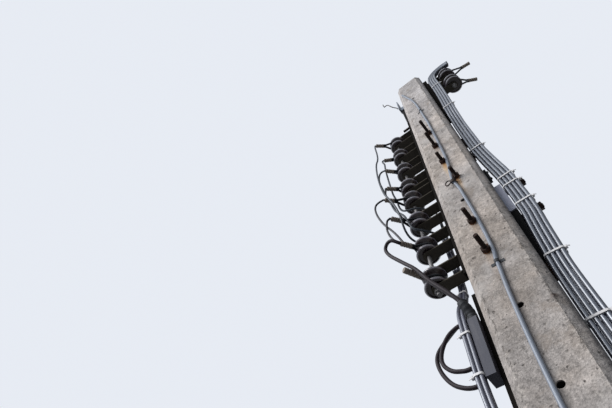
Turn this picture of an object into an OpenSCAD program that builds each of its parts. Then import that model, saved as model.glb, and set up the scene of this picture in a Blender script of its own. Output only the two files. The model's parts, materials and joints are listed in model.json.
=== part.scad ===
// Square precast concrete utility pole with its racks, spool insulators and riser cables.
// Origin at the centre of the shaft at ground level, +Z up, front face towards -Y.

/* [Shaft] */
// Height of the shaft above the ground
pole_h = 6500; // [6000:50:7500]
// Width of the square shaft at its top
top_w = 176; // [160:2:200]
// Growth of the width for each metre downwards
taper_per_m = 10; // [6:0.5:14]
// Width of the chamfer on each corner
corner_cut = 22; // [12:1:28]
// Diameter of the holes cast through the shaft
hole_d = 20; // [19:1:24]

/* [Bolts] */
// Diameter of the through-bolts
bolt_d = 16; // [12:1:16]
// Width across the flats of the nuts and heads
nut_flats = 26; // [24:1:30]
// Thickness of a nut
nut_t = 13; // [10:1:16]
// Side of the square washers
washer_w = 40; // [34:1:48]
// Thickness of the square washers
washer_t = 5; // [4:1:8]
// Thickness of the round washers under the front nuts
ring_t = 3; // [2:0.5:5]
// Height of the bolt heads
head_t = 10; // [8:1:13]

/* [Racks] */
// Distance between neighbouring spools on a rack
spool_pitch = 200; // [190:5:230]
// Width of the rack channel
channel_w = 50; // [44:2:60]
// Depth of the rack channel's flanges
channel_depth = 24; // [16:1:30]
// Thickness of the channel and its flanges
channel_t = 5; // [4:0.5:7]
// Width of the strap that holds a spool
strap_w = 44; // [38:1:48]
// Thickness of a strap
strap_t = 6; // [5:0.5:8]
// Distance from the shaft's face to the spools' axis
arm_reach = 130; // [120:1:150]
// Distance from the right face to the axis of the spools there
right_arm_reach = 146; // [130:1:165]
// Diameter of the long pin through the spools
pin_d = 16; // [12:1:18]

/* [Spools] */
// Diameter of the spool insulators
spool_d = 90; // [80:1:100]
// Diameter of the two spools on the right
right_spool_d = 104; // [92:1:112]
// Height of the spool insulators
spool_h = 76; // [70:1:82]
// Diameter at the bottom of the spool's groove
groove_d = 50; // [46:1:58]
// Diameter of the spool's bore
spool_bore = 18; // [18:0.5:20]

/* [Cables] */
// Diameter of the line cable looped round each spool
line_d = 11; // [8:1:13]
// Diameter of the riser cables on the right face
riser_d = 14; // [10:1:14]
// Diameter of the riser cables on the left face
left_riser_d = 12; // [8:1:12]
// Diameter of the jumper cables between the clamps
jumper_d = 9; // [6:0.5:10]
// Diameter of the thick cable down to the box
thick_d = 14; // [10:1:15]
// Diameter of the ground wire's conduit
conduit_d = 12; // [10:1:15]
// Thickness of a cable tie
tie_t = 2.4; // [1.5:0.1:3]
// Height of a cable tie's band
tie_h = 9; // [6:1:14]

/* [Hidden] */
seat = 0.2;
per_metre = 1000;
base_w = top_w + taper_per_m * pole_h / per_metre;
tilt = atan(taper_per_m / 2 / per_metre);

// Heights of holes and bolts, measured down from the top of the shaft
front_bolt_drops = [1100, 1286, 1478, 1665, 2005, 2179];
front_thread = [72, 73, 42, 40, 49, 54];
front_bolt_line = -13;
front_bolt_x = [0, 0, 0, 21, 0, 0];
front_open_drops = [406, 1842, 2437, 2684, 3200, 3700, 4200, 4700];
front_open_x = [-7, -10, 0, 0, 0, 0, 0, 0];
side_bolt_drops = [260, 570, 1219, 1388, 1788, 1975, 2272, 2940, 3600, 4300, 5000, 5700];
side_right_reach = [24, 24, 24, 57, 89, 85, 62, 62, 62, 62, 62, 62];
side_left_reach = [22, 70, 22, 22, 22, 22, 24, 24, 60, 60, 60, 60];
through = 3 * base_w;

// Racks: height of the top spool, and how far the channel runs past its spools
upper_rack_drop = 719;
lower_rack_drop = 1456;
right_rack_drop = 160;
left_slots = 4;
right_slots = 2;
upper_rack_past_top = 175;
upper_rack_past_bottom = 48;
lower_rack_past_top = 84;
lower_rack_past_bottom = 62;
right_rack_past_top = 140;
right_rack_past_bottom = 482;
strap_over = 6;
over_z = spool_h / 2 + strap_over;
under_z = spool_h / 2 + seat + strap_t;
pin_past = 26;

// Lines leave the spools level, to the front on the left and to the back on the right
line_angles = [38, 30, 44, 40, 43, 50, 55, 62];
clamp_mids = [108, 76, 82, 90, 110, 101, 84, 89];
clamp_lens = [44, 40, 44, 44, 44, 44, 44, 70];
right_line_angles = [6, 28];
right_clamp_mids = [138, 122];
right_clamp_len = 52;
clamp_d = 22;
leg_run = 14;

function half_w(z) = (top_w + taper_per_m * (pole_h - z) / per_metre) / 2;
function drop(d) = pole_h - d;

// Point given as [out from the left or right face, y, drop from the top]
function off_left(p) = [-half_w(drop(p[2])) - p[0], p[1], drop(p[2])];
function off_right(p) = [half_w(drop(p[2])) + p[0], p[1], drop(p[2])];

// Places children on a face of the shaft: +X points out of the face, +Z runs up along it
module on_face(turn, z) {
    rotate([0, 0, turn]) translate([half_w(z), 0, z]) rotate([0, -tilt, 0]) children();
}

// Places children beside a face but level, for pieces that go straight through the shaft
module beside_face(turn, z) {
    rotate([0, 0, turn]) translate([half_w(z), 0, z]) rotate([0, 90, 0]) children();
}

module tapered_slab(w_base, w_top) {
    rotate([90, 0, 0]) linear_extrude(height = through, center = true)
        polygon([[-w_base / 2, 0], [w_base / 2, 0], [w_top / 2, pole_h], [-w_top / 2, pole_h]]);
}

// Tube along a list of points, with flat ends
function unit(v) = v / norm(v);
function tangent(pts, i) = unit(pts[min(i + 1, len(pts) - 1)] - pts[max(i - 1, 0)]);
function side_axis(t) = unit(cross(t, abs(t[2]) > 0.95 ? [0, 1, 0] : [0, 0, 1]));
function turned_axis(t, last) = unit(last - (last * t) * t);
function side_axes(pts, i = 0, last = undef) =
    i == len(pts) ? [] :
    let (t = tangent(pts, i), u = i == 0 ? side_axis(t) : turned_axis(t, last))
    concat([u], side_axes(pts, i + 1, u));

module tube(pts, d, sides = 8) {
    n = len(pts);
    axes = side_axes(pts);
    rings = [
        for (i = [0 : n - 1])
            let (t = tangent(pts, i), u = axes[i], v = cross(t, u))
            for (k = [0 : sides - 1])
                let (a = 360 * k / sides)
                pts[i] + d / 2 * (cos(a) * u + sin(a) * v)
    ];
    walls = [
        for (i = [0 : n - 2])
            for (k = [0 : sides - 1])
                let (a = i * sides + k, b = i * sides + (k + 1) % sides)
                [a, a + sides, b + sides, b]
    ];
    start_cap = [for (k = [0 : sides - 1]) k];
    end_cap = [for (k = [sides - 1 : -1 : 0]) (n - 1) * sides + k];
    polyhedron(points = rings, faces = concat([start_cap], walls, [end_cap]), convexity = 6);
}

module hex_nut(t, bore) {
    difference() {
        cylinder(h = t, d = nut_flats / cos(30), $fn = 6);
        translate([0, 0, -1]) cylinder(h = t + 2, d = bore, $fn = 32);
    }
}

module square_washer(bore) {
    difference() {
        translate([-washer_w / 2, -washer_w / 2, 0]) cube([washer_w, washer_w, washer_t]);
        translate([0, 0, -1]) cylinder(h = washer_t + 2, d = bore, $fn = 32);
    }
}

module front_hole(x, d) {
    translate([x, 0, drop(d)]) rotate([90, 0, 0]) cylinder(h = through, d = hole_d, center = true, $fn = 32);
}

function bolt_x(i) = front_bolt_line + front_bolt_x[i];
module side_bolt_holes(d) {
    for (s = side_bolt_drops)
        translate([0, 0, drop(s)]) rotate([0, 90, 0]) cylinder(h = through, d = d, center = true, $fn = 32);
}

module shaft() {
    diagonal_base = sqrt(2) * (base_w - corner_cut);
    diagonal_top = sqrt(2) * (top_w - corner_cut);
    color([0.72, 0.69, 0.66]) difference() {
        intersection() {
            tapered_slab(base_w, top_w);
            rotate([0, 0, 90]) tapered_slab(base_w, top_w);
            rotate([0, 0, 45]) tapered_slab(diagonal_base, diagonal_top);
            rotate([0, 0, 135]) tapered_slab(diagonal_base, diagonal_top);
        }
        for (i = [0 : len(front_bolt_drops) - 1]) front_hole(bolt_x(i), front_bolt_drops[i]);
        for (i = [0 : len(front_open_drops) - 1]) front_hole(front_open_x[i], front_open_drops[i]);
        side_bolt_holes(hole_d);
    }
}

// Bolts along Y: heads on square washers at the back, long threaded ends out of the front
back_plate = seat + washer_t + seat;
front_plate = seat + ring_t + seat;
module front_bolts() {
    color([0.2, 0.14, 0.12])
        for (i = [0 : len(front_bolt_drops) - 1]) {
            z = drop(front_bolt_drops[i]);
            back = half_w(z) + back_plate;
            front = half_w(z) + front_plate + nut_t + front_thread[i];
            translate([bolt_x(i), back, z]) rotate([90, 0, 0]) {
                cylinder(h = back + front, d = bolt_d, $fn = 32);
                translate([0, 0, -head_t]) cylinder(h = head_t, d = nut_flats / cos(30), $fn = 6);
            }
        }
}
module front_nuts() {
    color([0.2, 0.14, 0.12])
        for (i = [0 : len(front_bolt_drops) - 1]) {
            z = drop(front_bolt_drops[i]);
            translate([bolt_x(i), -half_w(z) - front_plate, z]) rotate([90, 0, 0])
                rotate([0, 0, 30]) hex_nut(nut_t, bolt_d + 2 * seat);
        }
}
module front_washers() {
    color([0.3, 0.19, 0.13])
        for (i = [0 : len(front_bolt_drops) - 1])
            on_face(270, drop(front_bolt_drops[i])) translate([seat, bolt_x(i), 0]) rotate([0, 90, 0])
                difference() {
                    cylinder(h = ring_t, d = nut_flats + 1, $fn = 32);
                    translate([0, 0, -1]) cylinder(h = ring_t + 2, d = bolt_d + 2, $fn = 32);
                }
}
module back_washers() {
    color([0.3, 0.19, 0.13])
        for (i = [0 : len(front_bolt_drops) - 1])
            on_face(90, drop(front_bolt_drops[i])) translate([seat, -bolt_x(i), 0]) rotate([0, 90, 0])
                square_washer(bolt_d + 2);
}

// Bolts along X: they carry the racks on the left and the cable run on the right
module side_bolts() {
    color([0.22, 0.17, 0.15])
        for (i = [0 : len(side_bolt_drops) - 1]) {
            z = drop(side_bolt_drops[i]);
            left = half_w(z) + side_left_reach[i];
            right = half_w(z) + side_right_reach[i];
            translate([-left, 0, z]) rotate([0, 90, 0]) cylinder(h = left + right, d = bolt_d, $fn = 32);
        }
}
// The first bolts go through the gusset, the racks and the bracket, and the rest through washers
plated_left = 8;
spacer_bolts = [4];
rack_bolts = [0, 1, 5];
function one_of(i, list) = len([for (k = list) if (k == i) k]) > 0;
function left_plate(i) = i < plated_left ? channel_t : washer_t;
module side_nuts() {
    color([0.22, 0.17, 0.15])
        for (i = [0 : len(side_bolt_drops) - 1]) {
            z = drop(side_bolt_drops[i]);
            beside_face(180, z) translate([0, 0, left_plate(i) + 3 * seat]) hex_nut(nut_t, bolt_d + 2 * seat);
            beside_face(0, z) translate([0, 0, right_plate(i) + 3 * seat]) hex_nut(nut_t, bolt_d + 2 * seat);
        }
}
function right_plate(i) = one_of(i, rack_bolts) ? channel_t : one_of(i, spacer_bolts) ? spacer_depth : washer_t;
module side_washers() {
    color([0.3, 0.2, 0.15])
        for (i = [0 : len(side_bolt_drops) - 1]) {
            z = drop(side_bolt_drops[i]);
            if (!one_of(i, rack_bolts) && !one_of(i, spacer_bolts))
                on_face(0, z) translate([seat, 0, 0]) rotate([0, 90, 0]) square_washer(bolt_d + 2);
            if (i >= plated_left)
                on_face(180, z) translate([seat, 0, 0]) rotate([0, 90, 0]) square_washer(bolt_d + 2);
        }
}

// Rack frame, with its local Z at the centre of the top spool
module rack_frame(slots, reach, past_top, past_bottom) {
    bottom = (slots - 1) * spool_pitch + past_bottom;
    color([0.27, 0.25, 0.23]) difference() {
        union() {
            translate([seat, -channel_w / 2, -bottom]) cube([channel_t, channel_w, bottom + past_top]);
            for (y = [-channel_w / 2, channel_w / 2 - channel_t])
                translate([seat, y, -bottom]) cube([channel_depth, channel_t, bottom + past_top]);
            for (i = [0 : slots - 1])
                for (z = [over_z, -under_z])
                    translate([0, 0, -i * spool_pitch + z]) {
                        translate([seat + channel_t / 2, -strap_w / 2, 0])
                            cube([reach - seat - channel_t / 2, strap_w, strap_t]);
                        translate([reach, 0, 0]) cylinder(h = strap_t, d = strap_w, $fn = 48);
                    }
        }
        translate([reach, 0, -bottom]) cylinder(h = bottom + past_top + spool_h, d = pin_d + 1, $fn = 32);
    }
}
module rack_pin(slots, reach) {
    top = over_z + strap_t + seat;
    bottom = (slots - 1) * spool_pitch + under_z + pin_past;
    color([0.24, 0.2, 0.18]) translate([reach, 0, -bottom]) {
        cylinder(h = top + bottom, d = pin_d, $fn = 32);
        translate([0, 0, top + bottom]) cylinder(h = head_t, d = nut_flats / cos(30), $fn = 6);
        translate([0, 0, pin_past - seat - nut_t]) cylinder(h = nut_t, d = nut_flats / cos(30), $fn = 6);
    }
}

// Spool with a groove for the line, and a recess round its bore underneath
module spool(reach, i, d) {
    rim = 5;
    lip = 17;
    slope = 5;
    hollow = 5;
    hub_r = spool_bore / 2 + 9;
    hollow_r = d / 2 - 9;
    h = spool_h / 2;
    color([0.25, 0.14, 0.11]) translate([reach, 0, -i * spool_pitch])
        rotate_extrude($fn = 64) polygon([
            [spool_bore / 2, -h], [hub_r, -h], [hub_r + 2, -h + hollow], [hollow_r - 2, -h + hollow], [hollow_r, -h],
            [d / 2 - rim, -h], [d / 2, -h + rim], [d / 2, -h + lip - rim], [d / 2 - rim, -h + lip],
            [groove_d / 2 + slope, -h + lip + slope], [groove_d / 2, -h + lip + 2 * slope],
            [groove_d / 2, h - lip - 2 * slope], [groove_d / 2 + slope, h - lip - slope],
            [d / 2 - rim, h - lip], [d / 2, h - lip + rim], [d / 2, h - rim], [d / 2 - rim, h], [spool_bore / 2, h]
        ]);
}

module on_rack(rack) {
    turn = rack == "right" ? 0 : 180;
    z = drop(rack == "upper" ? upper_rack_drop : rack == "lower" ? lower_rack_drop : right_rack_drop);
    on_face(turn, z) children();
}
module upper_rack() {
    difference() {
        on_rack("upper") rack_frame(left_slots, arm_reach, upper_rack_past_top, upper_rack_past_bottom);
        side_bolt_holes(bolt_d + 2);
    }
}
module lower_rack() {
    difference() {
        on_rack("lower") rack_frame(left_slots, arm_reach, lower_rack_past_top, lower_rack_past_bottom);
        side_bolt_holes(bolt_d + 2);
    }
}
module right_rack() {
    difference() {
        on_rack("right") rack_frame(right_slots, right_arm_reach, right_rack_past_top, right_rack_past_bottom);
        side_bolt_holes(bolt_d + 2);
    }
}
module upper_rack_pin() on_rack("upper") rack_pin(left_slots, arm_reach);
module lower_rack_pin() on_rack("lower") rack_pin(left_slots, arm_reach);
module right_rack_pin() on_rack("right") rack_pin(right_slots, right_arm_reach);
module left_spool(n) {
    if (n <= left_slots) on_rack("upper") spool(arm_reach, n - 1, spool_d);
    else on_rack("lower") spool(arm_reach, n - 1 - left_slots, spool_d);
}
module right_spool(n) on_rack("right") spool(right_arm_reach, n - 1, right_spool_d);

// Spacer behind the right-hand cables, and bracket and box beside the left-hand ones
spacer_depth = 25;
spacer_w = 60;
spacer_over = 22;
spacer_h = 190;
spacer_top_drop = side_bolt_drops[4] - spacer_over;
spacer_bottom_drop = spacer_top_drop + spacer_h;
spacer_bottom = drop(spacer_bottom_drop);
bracket_depth = 26;
bracket_w = 46;
bracket_top_drop = side_bolt_drops[6] - bracket_w;
bracket_bottom_drop = side_bolt_drops[7] + bracket_w;
bracket_bottom = drop(bracket_bottom_drop);
bracket_h = bracket_bottom_drop - bracket_top_drop;
box_clear = 22;
box_top_drop = side_bolt_drops[6] + bracket_w + box_clear;
box_h = 204;
box_bottom = drop(box_top_drop + box_h);
box_w = 28;
box_depth = 50;
box_mid_out = bracket_depth + box_w / 2 + 2 * seat;

// Line cable round a spool's groove: a loop with both legs drawn together at the clamp
loop_steps = 10;
loop_open = 120;
loop_r = (groove_d / 2 + line_d / 2 + seat) / cos((360 - loop_open) / loop_steps / 2);
leg_y = line_d / 2 + seat;
function loop_points(reach) = concat(
    [[reach, leg_y, 0], [reach - leg_run, leg_y, 0]],
    [
        for (k = [0 : loop_steps])
            let (a = loop_open / 2 + (360 - loop_open) * k / loop_steps)
            [loop_r * cos(a), loop_r * sin(a), 0]
    ],
    [[reach - leg_run, -leg_y, 0], [reach, -leg_y, 0]]
);
module line_loop(reach, i, angle, mid, len) {
    translate([reach, 0, -i * spool_pitch]) rotate([0, 0, angle]) tube(loop_points(mid - len / 2), line_d);
}
module line_clamp(reach, i, angle, mid, len) {
    translate([reach, 0, -i * spool_pitch]) rotate([0, 0, angle])
        translate([mid - len / 2 + seat, 0, 0]) rotate([0, 90, 0]) cylinder(h = len, d = clamp_d, $fn = 24);
}
module left_line_loops() {
    color([0.1, 0.1, 0.11])
        for (r = [0, 1])
            for (i = [0 : left_slots - 1])
                let (n = r * left_slots + i)
                on_rack(r == 0 ? "upper" : "lower")
                    line_loop(arm_reach, i, line_angles[n], clamp_mids[n], clamp_lens[n]);
}
module left_line_clamps() {
    color([0.33, 0.29, 0.24])
        for (r = [0, 1])
            for (i = [0 : left_slots - 1])
                let (n = r * left_slots + i)
                on_rack(r == 0 ? "upper" : "lower")
                    line_clamp(arm_reach, i, line_angles[n], clamp_mids[n], clamp_lens[n]);
}
module right_line_loops() {
    color([0.1, 0.1, 0.11])
        for (i = [0 : right_slots - 1])
            on_rack("right")
                line_loop(right_arm_reach, i, right_line_angles[i], right_clamp_mids[i], right_clamp_len);
}
module right_line_clamps() {
    color([0.2, 0.18, 0.16])
        for (i = [0 : right_slots - 1])
            on_rack("right")
                line_clamp(right_arm_reach, i, right_line_angles[i], right_clamp_mids[i], right_clamp_len);
}

// A point beyond the outer end of the clamp at left spool n, up to the tilt of its rack
function clamp_end(n, past) =
    let (
        z = drop(n <= left_slots ? upper_rack_drop : lower_rack_drop),
        w = -((n - 1) % left_slots) * spool_pitch,
        a = line_angles[n - 1],
        r = clamp_mids[n - 1] + clamp_lens[n - 1] / 2 + seat + past,
        u = arm_reach + r * cos(a)
    )
    [-half_w(z) - u * cos(tilt) + w * sin(tilt), -r * sin(a), z + u * sin(tilt) + w * cos(tilt)];

// Jumper cables from the clamps: four go in behind the racks to the left riser, two end at clamp 7
riser_out = 62;
jumper_lead = 150;
riser_y = 39;
jumper_routes = [
    [1, [[240, -82, 765], [232, -86, 850], [231, -86, 952], [246, -90, 1009], [247, -92, 1145], [239, -94, 1278],
        [222, -98, 1412], [206, -101, 1470], [181, -94, 1569], [172, -80, 1654], [178, -60, 1712], [180, -25, 1740],
        [168, 12, 1748], [140, 38, 1750], [100, 48, 1752]], [0.5, 0.5]],
    [2, [[224, -53, 930], [220, -52, 950], [213, -51, 980], [215, -51, 1025], [212, -51, 1135], [208, -46, 1256],
        [206, -41, 1318], [204, -38, 1356], [196, -33, 1401], [190, -31, 1500], [170, -33, 1542], [142, -28, 1550],
        [112, -16, 1553], [84, 12, 1560], [62, 28, 1585]], [-0.5, -0.5]],
    [3, [[228, -72, 1100], [242, -78, 1130], [249, -78, 1210], [236, -74, 1308], [226, -64, 1394], [216, -56, 1440],
        [212, -56, 1482], [200, -59, 1550], [176, -60, 1600], [161, -62, 1640], [156, -59, 1680], [148, -44, 1735],
        [124, -28, 1745], [98, 0, 1750], [82, 22, 1752]], [0.5, -0.5]],
    [4, [[222, -74, 1335], [232, -66, 1352], [228, -50, 1400], [216, -22, 1460], [206, 2, 1510], [182, 25, 1550],
        [130, 44, 1560], [80, 52, 1575]], [-0.5, 0.5]],
    [5, [[238, -96, 1456], [255, -98, 1458], [273, -98, 1466], [279, -98, 1501], [273, -97, 1559], [258, -95, 1625],
        [240, -92, 1682], [214, -88, 1744], [196, -82, 1800], [186, -76, 1838]], []],
    [6, [[214, -100, 1660], [224, -104, 1668], [232, -98, 1685], [237, -94, 1715], [232, -92, 1757],
        [222, -90, 1796], [208, -84, 1826]], []]
];
module left_jumpers() {
    color([0.16, 0.13, 0.12]) {
        for (route = jumper_routes) {
            ends = len(route[2]) == 0 ? [] :
                let (u = riser_out + route[2][0] * left_step, v = riser_y + route[2][1] * left_step)
                [for (d = [route[0] % 2 == 1 ? riser_top_drop - 4 : riser_top_drop - jumper_lead, riser_top_drop - seat])
                    off_left([u, v, d])];
            tube(concat([clamp_end(route[0], seat), clamp_end(route[0], 7)], [for (p = route[1]) off_left(p)], ends),
                jumper_d);
        }
        tube(concat([clamp_end(7, seat), clamp_end(7, 8)], [for (p = thick_route) off_left(p)]), thick_d, 10);
        tube([for (p = side_route) off_left(p)], jumper_d);
    }
}
// The thick cable and the one below clamp 8 go into the black sleeve side by side
sleeve_d = 30;
sleeve_run = 61;
sleeve_top_drop = box_top_drop - sleeve_run;
sleeve_out = 49;
sleeve_y = -57;
thick_route = [
    [215, -108, 1836], [236, -104, 1826], [252, -98, 1838], [256, -94, 1858], [242, -92, 1900], [213, -92, 1953],
    [185, -93, 2004], [156, -95, 2056], [133, -90, 2110], [115, -84, 2154], [85, -76, 2207], [62, -66, sleeve_top_drop - 27],
    [sleeve_out + 5, sleeve_y - 3, sleeve_top_drop - 10], [sleeve_out + 5, sleeve_y - 3, sleeve_top_drop - 2 * seat]
];
side_route = [
    [156, -54, 2068], [154, -55, 2078], [141, -60, 2098], [124, -60, 2130], [104, -56, 2169], [75, -48, 2225],
    [sleeve_out - 5, sleeve_y + 7, sleeve_top_drop - 16], [sleeve_out - 5, sleeve_y + 7, sleeve_top_drop - 2 * seat]
];
sleeve_route = [
    [sleeve_out, sleeve_y, sleeve_top_drop], [sleeve_out, sleeve_y, sleeve_top_drop + 6],
    [44, -51, sleeve_top_drop + 18], [box_mid_out, -39, sleeve_top_drop + 34],
    [box_mid_out, -34, box_top_drop - 12], [box_mid_out, -34, box_top_drop - 2 * seat]
];
module jumper_sleeve() {
    color([0.07, 0.07, 0.07]) tube([for (p = sleeve_route) off_left(p)], sleeve_d, 16);
}

// Ground wire's conduit, down the front face: [z, x] points, clear of the nuts
beside_nut = front_bolt_line + nut_flats / 2 + conduit_d / 2 + 2 * seat;
before_nut = bolt_x(3) - nut_flats / 2 - conduit_d / 2 - 2 * seat;
conduit_run = [
    [214, -61], [246, -55], [319, -42], [437, -19], [555, -8], [642, -3], [764, 0], [868, 3], [959, beside_nut],
    [1079, beside_nut], [1496, beside_nut], [1641, before_nut], [1686, before_nut], [1763, -1],
    [1809, 0], [1984, beside_nut], [2198, beside_nut], [2241, -1], [2265, -1], [2367, -8], [2476, -12],
    [2600, -15], [2740, -15], [3500, -14], [4500, -13], [5500, -15]
];
conduit_line = concat([for (p = conduit_run) [drop(p[0]), p[1]]], [[50, -15], [0, -15]]);
module ground_conduit() {
    color([0.62, 0.66, 0.72])
        tube([for (p = conduit_line) [p[1], -half_w(p[0]) - seat - conduit_d / 2, p[0]]], conduit_d, 12);
}
clip_drops = [720, 2253, 3000, 3700, 4400, 5100, 5700];
clip_w = 12;
clip_t = 1.6;
clip_ear = 14;
module conduit_clips() {
    ring = conduit_d / 2 + 2 * seat;
    color([0.12, 0.12, 0.13])
        for (d = clip_drops)
            let (z = drop(d))
            on_face(270, z) translate([seat, lookup(z, sorted_up(conduit_line)), -clip_w / 2]) {
                translate([conduit_d / 2, 0, 0]) difference() {
                    cylinder(h = clip_w, r = ring + clip_t, $fn = 32);
                    translate([0, 0, -1]) cylinder(h = clip_w + 2, r = ring, $fn = 32);
                    translate([-conduit_d, -conduit_d, -1]) cube([conduit_d, 2 * conduit_d, clip_w + 2]);
                }
                for (s = [0, 1])
                    mirror([0, s, 0]) translate([0, ring, 0]) {
                        cube([conduit_d / 2, clip_t, clip_w]);
                        cube([clip_t, clip_ear, clip_w]);
                    }
            }
}
function sorted_up(line) = [for (i = [len(line) - 1 : -1 : 0]) line[i]];

// Riser cables on the right face, in two rows of four: [x, y, z] of the middle of the bundle
riser_gap = 0.3;
riser_step = riser_d + riser_gap;
riser_cols = 4;
bundle_half = riser_cols * riser_step / 2;
bundle_y = -(nut_flats / 2 + 2 * seat + riser_step);
arm_clear_y = -(strap_w / 2 + 7 + riser_step);
beside_out = washer_t + bundle_half + 2 * seat;
spacer_out = spacer_depth + tie_t + bundle_half + 4 * seat;
right_run = [
    [56, arm_clear_y, 320], [56, arm_clear_y, 400], [52, arm_clear_y, 583], [46, arm_clear_y, 740],
    [42, arm_clear_y, 850], [37, bundle_y, 980], [beside_out, bundle_y, 1106], [beside_out, bundle_y, 1386],
    [35, bundle_y, 1440], [44, bundle_y, 1590], [spacer_out, bundle_y, 1749], [spacer_out, bundle_y, 2000],
    [47, bundle_y, 2110], [38, bundle_y, 2248], [beside_out, bundle_y, 2310], [32, bundle_y, 2420],
    [32, bundle_y, 2700], [beside_out, bundle_y, 2900], [beside_out, bundle_y, 4200], [beside_out, bundle_y, 5600]
];
foot = [half_w(0) + beside_out, bundle_y];
right_line = concat([for (p = right_run) off_right(p)], [[foot[0], foot[1], 50], [foot[0], foot[1], 0]]);
// Over the top the cables bend side by side towards the right-hand lines
bend_line = [[78, 215], [82, 165], [89, 123], [112, 94], [140, 83], [168, 82], [196, 88]];
bend_out = [[-1, 0], [-0.99, 0.14], [-0.88, 0.47], [-0.5, 0.87], [-0.12, 0.99], [0.1, 1], [0.2, 0.98]];
module riser_row(row) {
    for (col = [0 : riser_cols - 1]) {
        dx = (col - (riser_cols - 1) / 2) * riser_step;
        dy = row * riser_step;
        out = (riser_cols - 1 - col) * (riser_step + seat);
        up = [for (i = [len(right_line) - 1 : -1 : 0]) right_line[i] + [dx, dy, 0]];
        over = [
            for (i = [0 : len(bend_line) - 1])
                half_w(drop(bend_line[0][1])) * [1, 0, 0] + [bend_line[i][0] + out * bend_out[i][0], arm_clear_y + dy,
                    drop(bend_line[i][1]) + out * bend_out[i][1]]
        ];
        tube(concat(up, over), riser_d);
    }
}
module right_riser_front() color([0.66, 0.66, 0.7]) riser_row(-0.5);
module right_riser_back() color([0.62, 0.62, 0.66]) riser_row(0.5);

// Cable ties stand square to the cables they hold
function line_at(line, z) =
    let (up = sorted_up(line))
    [lookup(z, [for (p = up) [p[2], p[0]]]), lookup(z, [for (p = up) [p[2], p[1]]]), z];
module across_line(line, z) {
    lean = line_at(line, z + 6) - line_at(line, z - 6);
    turn = atan2(lean[1], lean[0]);
    translate(line_at(line, z)) rotate([0, 0, turn]) rotate([0, acos(lean[2] / norm(lean)), 0])
        rotate([0, 0, -turn]) children();
}
module band(w, depth) {
    difference() {
        translate([-w / 2 - tie_t, -depth / 2 - tie_t, -tie_h / 2])
            cube([w + 2 * tie_t, depth + 2 * tie_t, tie_h]);
        translate([-w / 2, -depth / 2, -tie_h / 2 - 1]) cube([w, depth, tie_h + 2]);
    }
}
right_tie_drops = [345, 796, 1412, 1749, 1815, 1952, 2248, 2510, 3250, 3950, 4650, 5350, 6050];
module right_ties() {
    color([0.9, 0.9, 0.92])
        for (d = right_tie_drops) across_line(right_line, drop(d)) band(2 * bundle_half + seat, 2 * riser_step + seat);
}

// Spacer block that holds the right-hand cables off the shaft
module cable_spacer() {
    color([0.45, 0.45, 0.46]) difference() {
        on_face(0, spacer_bottom) translate([seat, -spacer_w / 2, 0]) cube([spacer_depth, spacer_w, spacer_h]);
        side_bolt_holes(bolt_d + 2);
    }
}

// Dark bracket below the block, tapered to the cables that come back to the shaft there
wedge_run = 280;
wedge_bottom_drop = spacer_bottom_drop + wedge_run;
wedge_deep = 25;
wedge_shallow = 8;
wedge_h = wedge_run - seat;
module spacer_bracket() {
    color([0.16, 0.16, 0.17]) difference() {
        on_face(0, drop(wedge_bottom_drop)) {
            translate([seat, -channel_w / 2, 0]) cube([channel_t, channel_w, wedge_h]);
            for (y = [channel_t - channel_w / 2, channel_w / 2])
                translate([0, y, 0]) rotate([90, 0, 0]) linear_extrude(height = channel_t)
                    polygon([[channel_t / 2, 0], [wedge_shallow, 0], [wedge_deep, wedge_h], [channel_t / 2, wedge_h]]);
        }
        side_bolt_holes(bolt_d + 2);
    }
}

// Cables on the left: behind the racks, past the guard box and down
left_step = left_riser_d + 2 * riser_gap;
box_out = bracket_depth + box_w + 5 * seat + tie_t + left_step;
riser_top_drop = 1760;
left_run = [
    [riser_out, riser_y, riser_top_drop], [61, riser_y, 2010], [62, 37, 2070],
    [62, 37, 2120], [66, 12, 2200], [box_out, -28, 2275], [box_out, -44, 2341], [box_out, -44, 2432],
    [box_out, -44, 2570], [63, -36, 2697], [60, -31, 2850], [58, -31, 3600], [58, -31, 4300], [58, -31, 5500]
];
left_foot = [-half_w(0) - 58, -31];
left_line = concat([for (p = left_run) off_left(p)], [[left_foot[0], left_foot[1], 50], [left_foot[0], left_foot[1], 0]]);
// A line moved sideways and forwards or back, square to its own run
function beside(line, dx, dy) = [
    for (i = [0 : len(line) - 1])
        let (t = tangent(line, i), v = [0, 1, 0] - t[1] * t, w = v / norm(v))
        line[i] + dx * cross(w, t) * (t[2] > 0 ? 1 : -1) + dy * w
];
module left_riser() {
    color([0.68, 0.68, 0.72])
        for (sx = [-0.5, 0.5])
            for (sy = [-0.5, 0.5])
                tube(beside(left_line, sx * left_step, sy * left_step), left_riser_d);
}
left_tie_drops = [1840, 2147, 2389, 2532, 3250, 3950, 4650, 5350, 6050];
module left_ties() {
    color([0.9, 0.9, 0.92])
        for (d = left_tie_drops)
            across_line(left_line, drop(d)) band(2 * left_step + seat, 2 * left_step + seat);
}

// Steel box on a bracket at the left face
module guard_box() {
    color([0.42, 0.42, 0.46])
        on_face(180, box_bottom) translate([bracket_depth + 2 * seat, 0, 0]) cube([box_w, box_depth, box_h]);
}
module guard_bracket() {
    color([0.16, 0.16, 0.17]) difference() {
        on_face(180, bracket_bottom) difference() {
            translate([seat, -bracket_w / 2, 0]) cube([bracket_depth, bracket_w, bracket_h]);
            translate([seat + channel_t, -bracket_w / 2 + channel_t, -1])
                cube([bracket_depth, bracket_w - 2 * channel_t, bracket_h + 2]);
        }
        side_bolt_holes(bolt_d + 2);
    }
}

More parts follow.
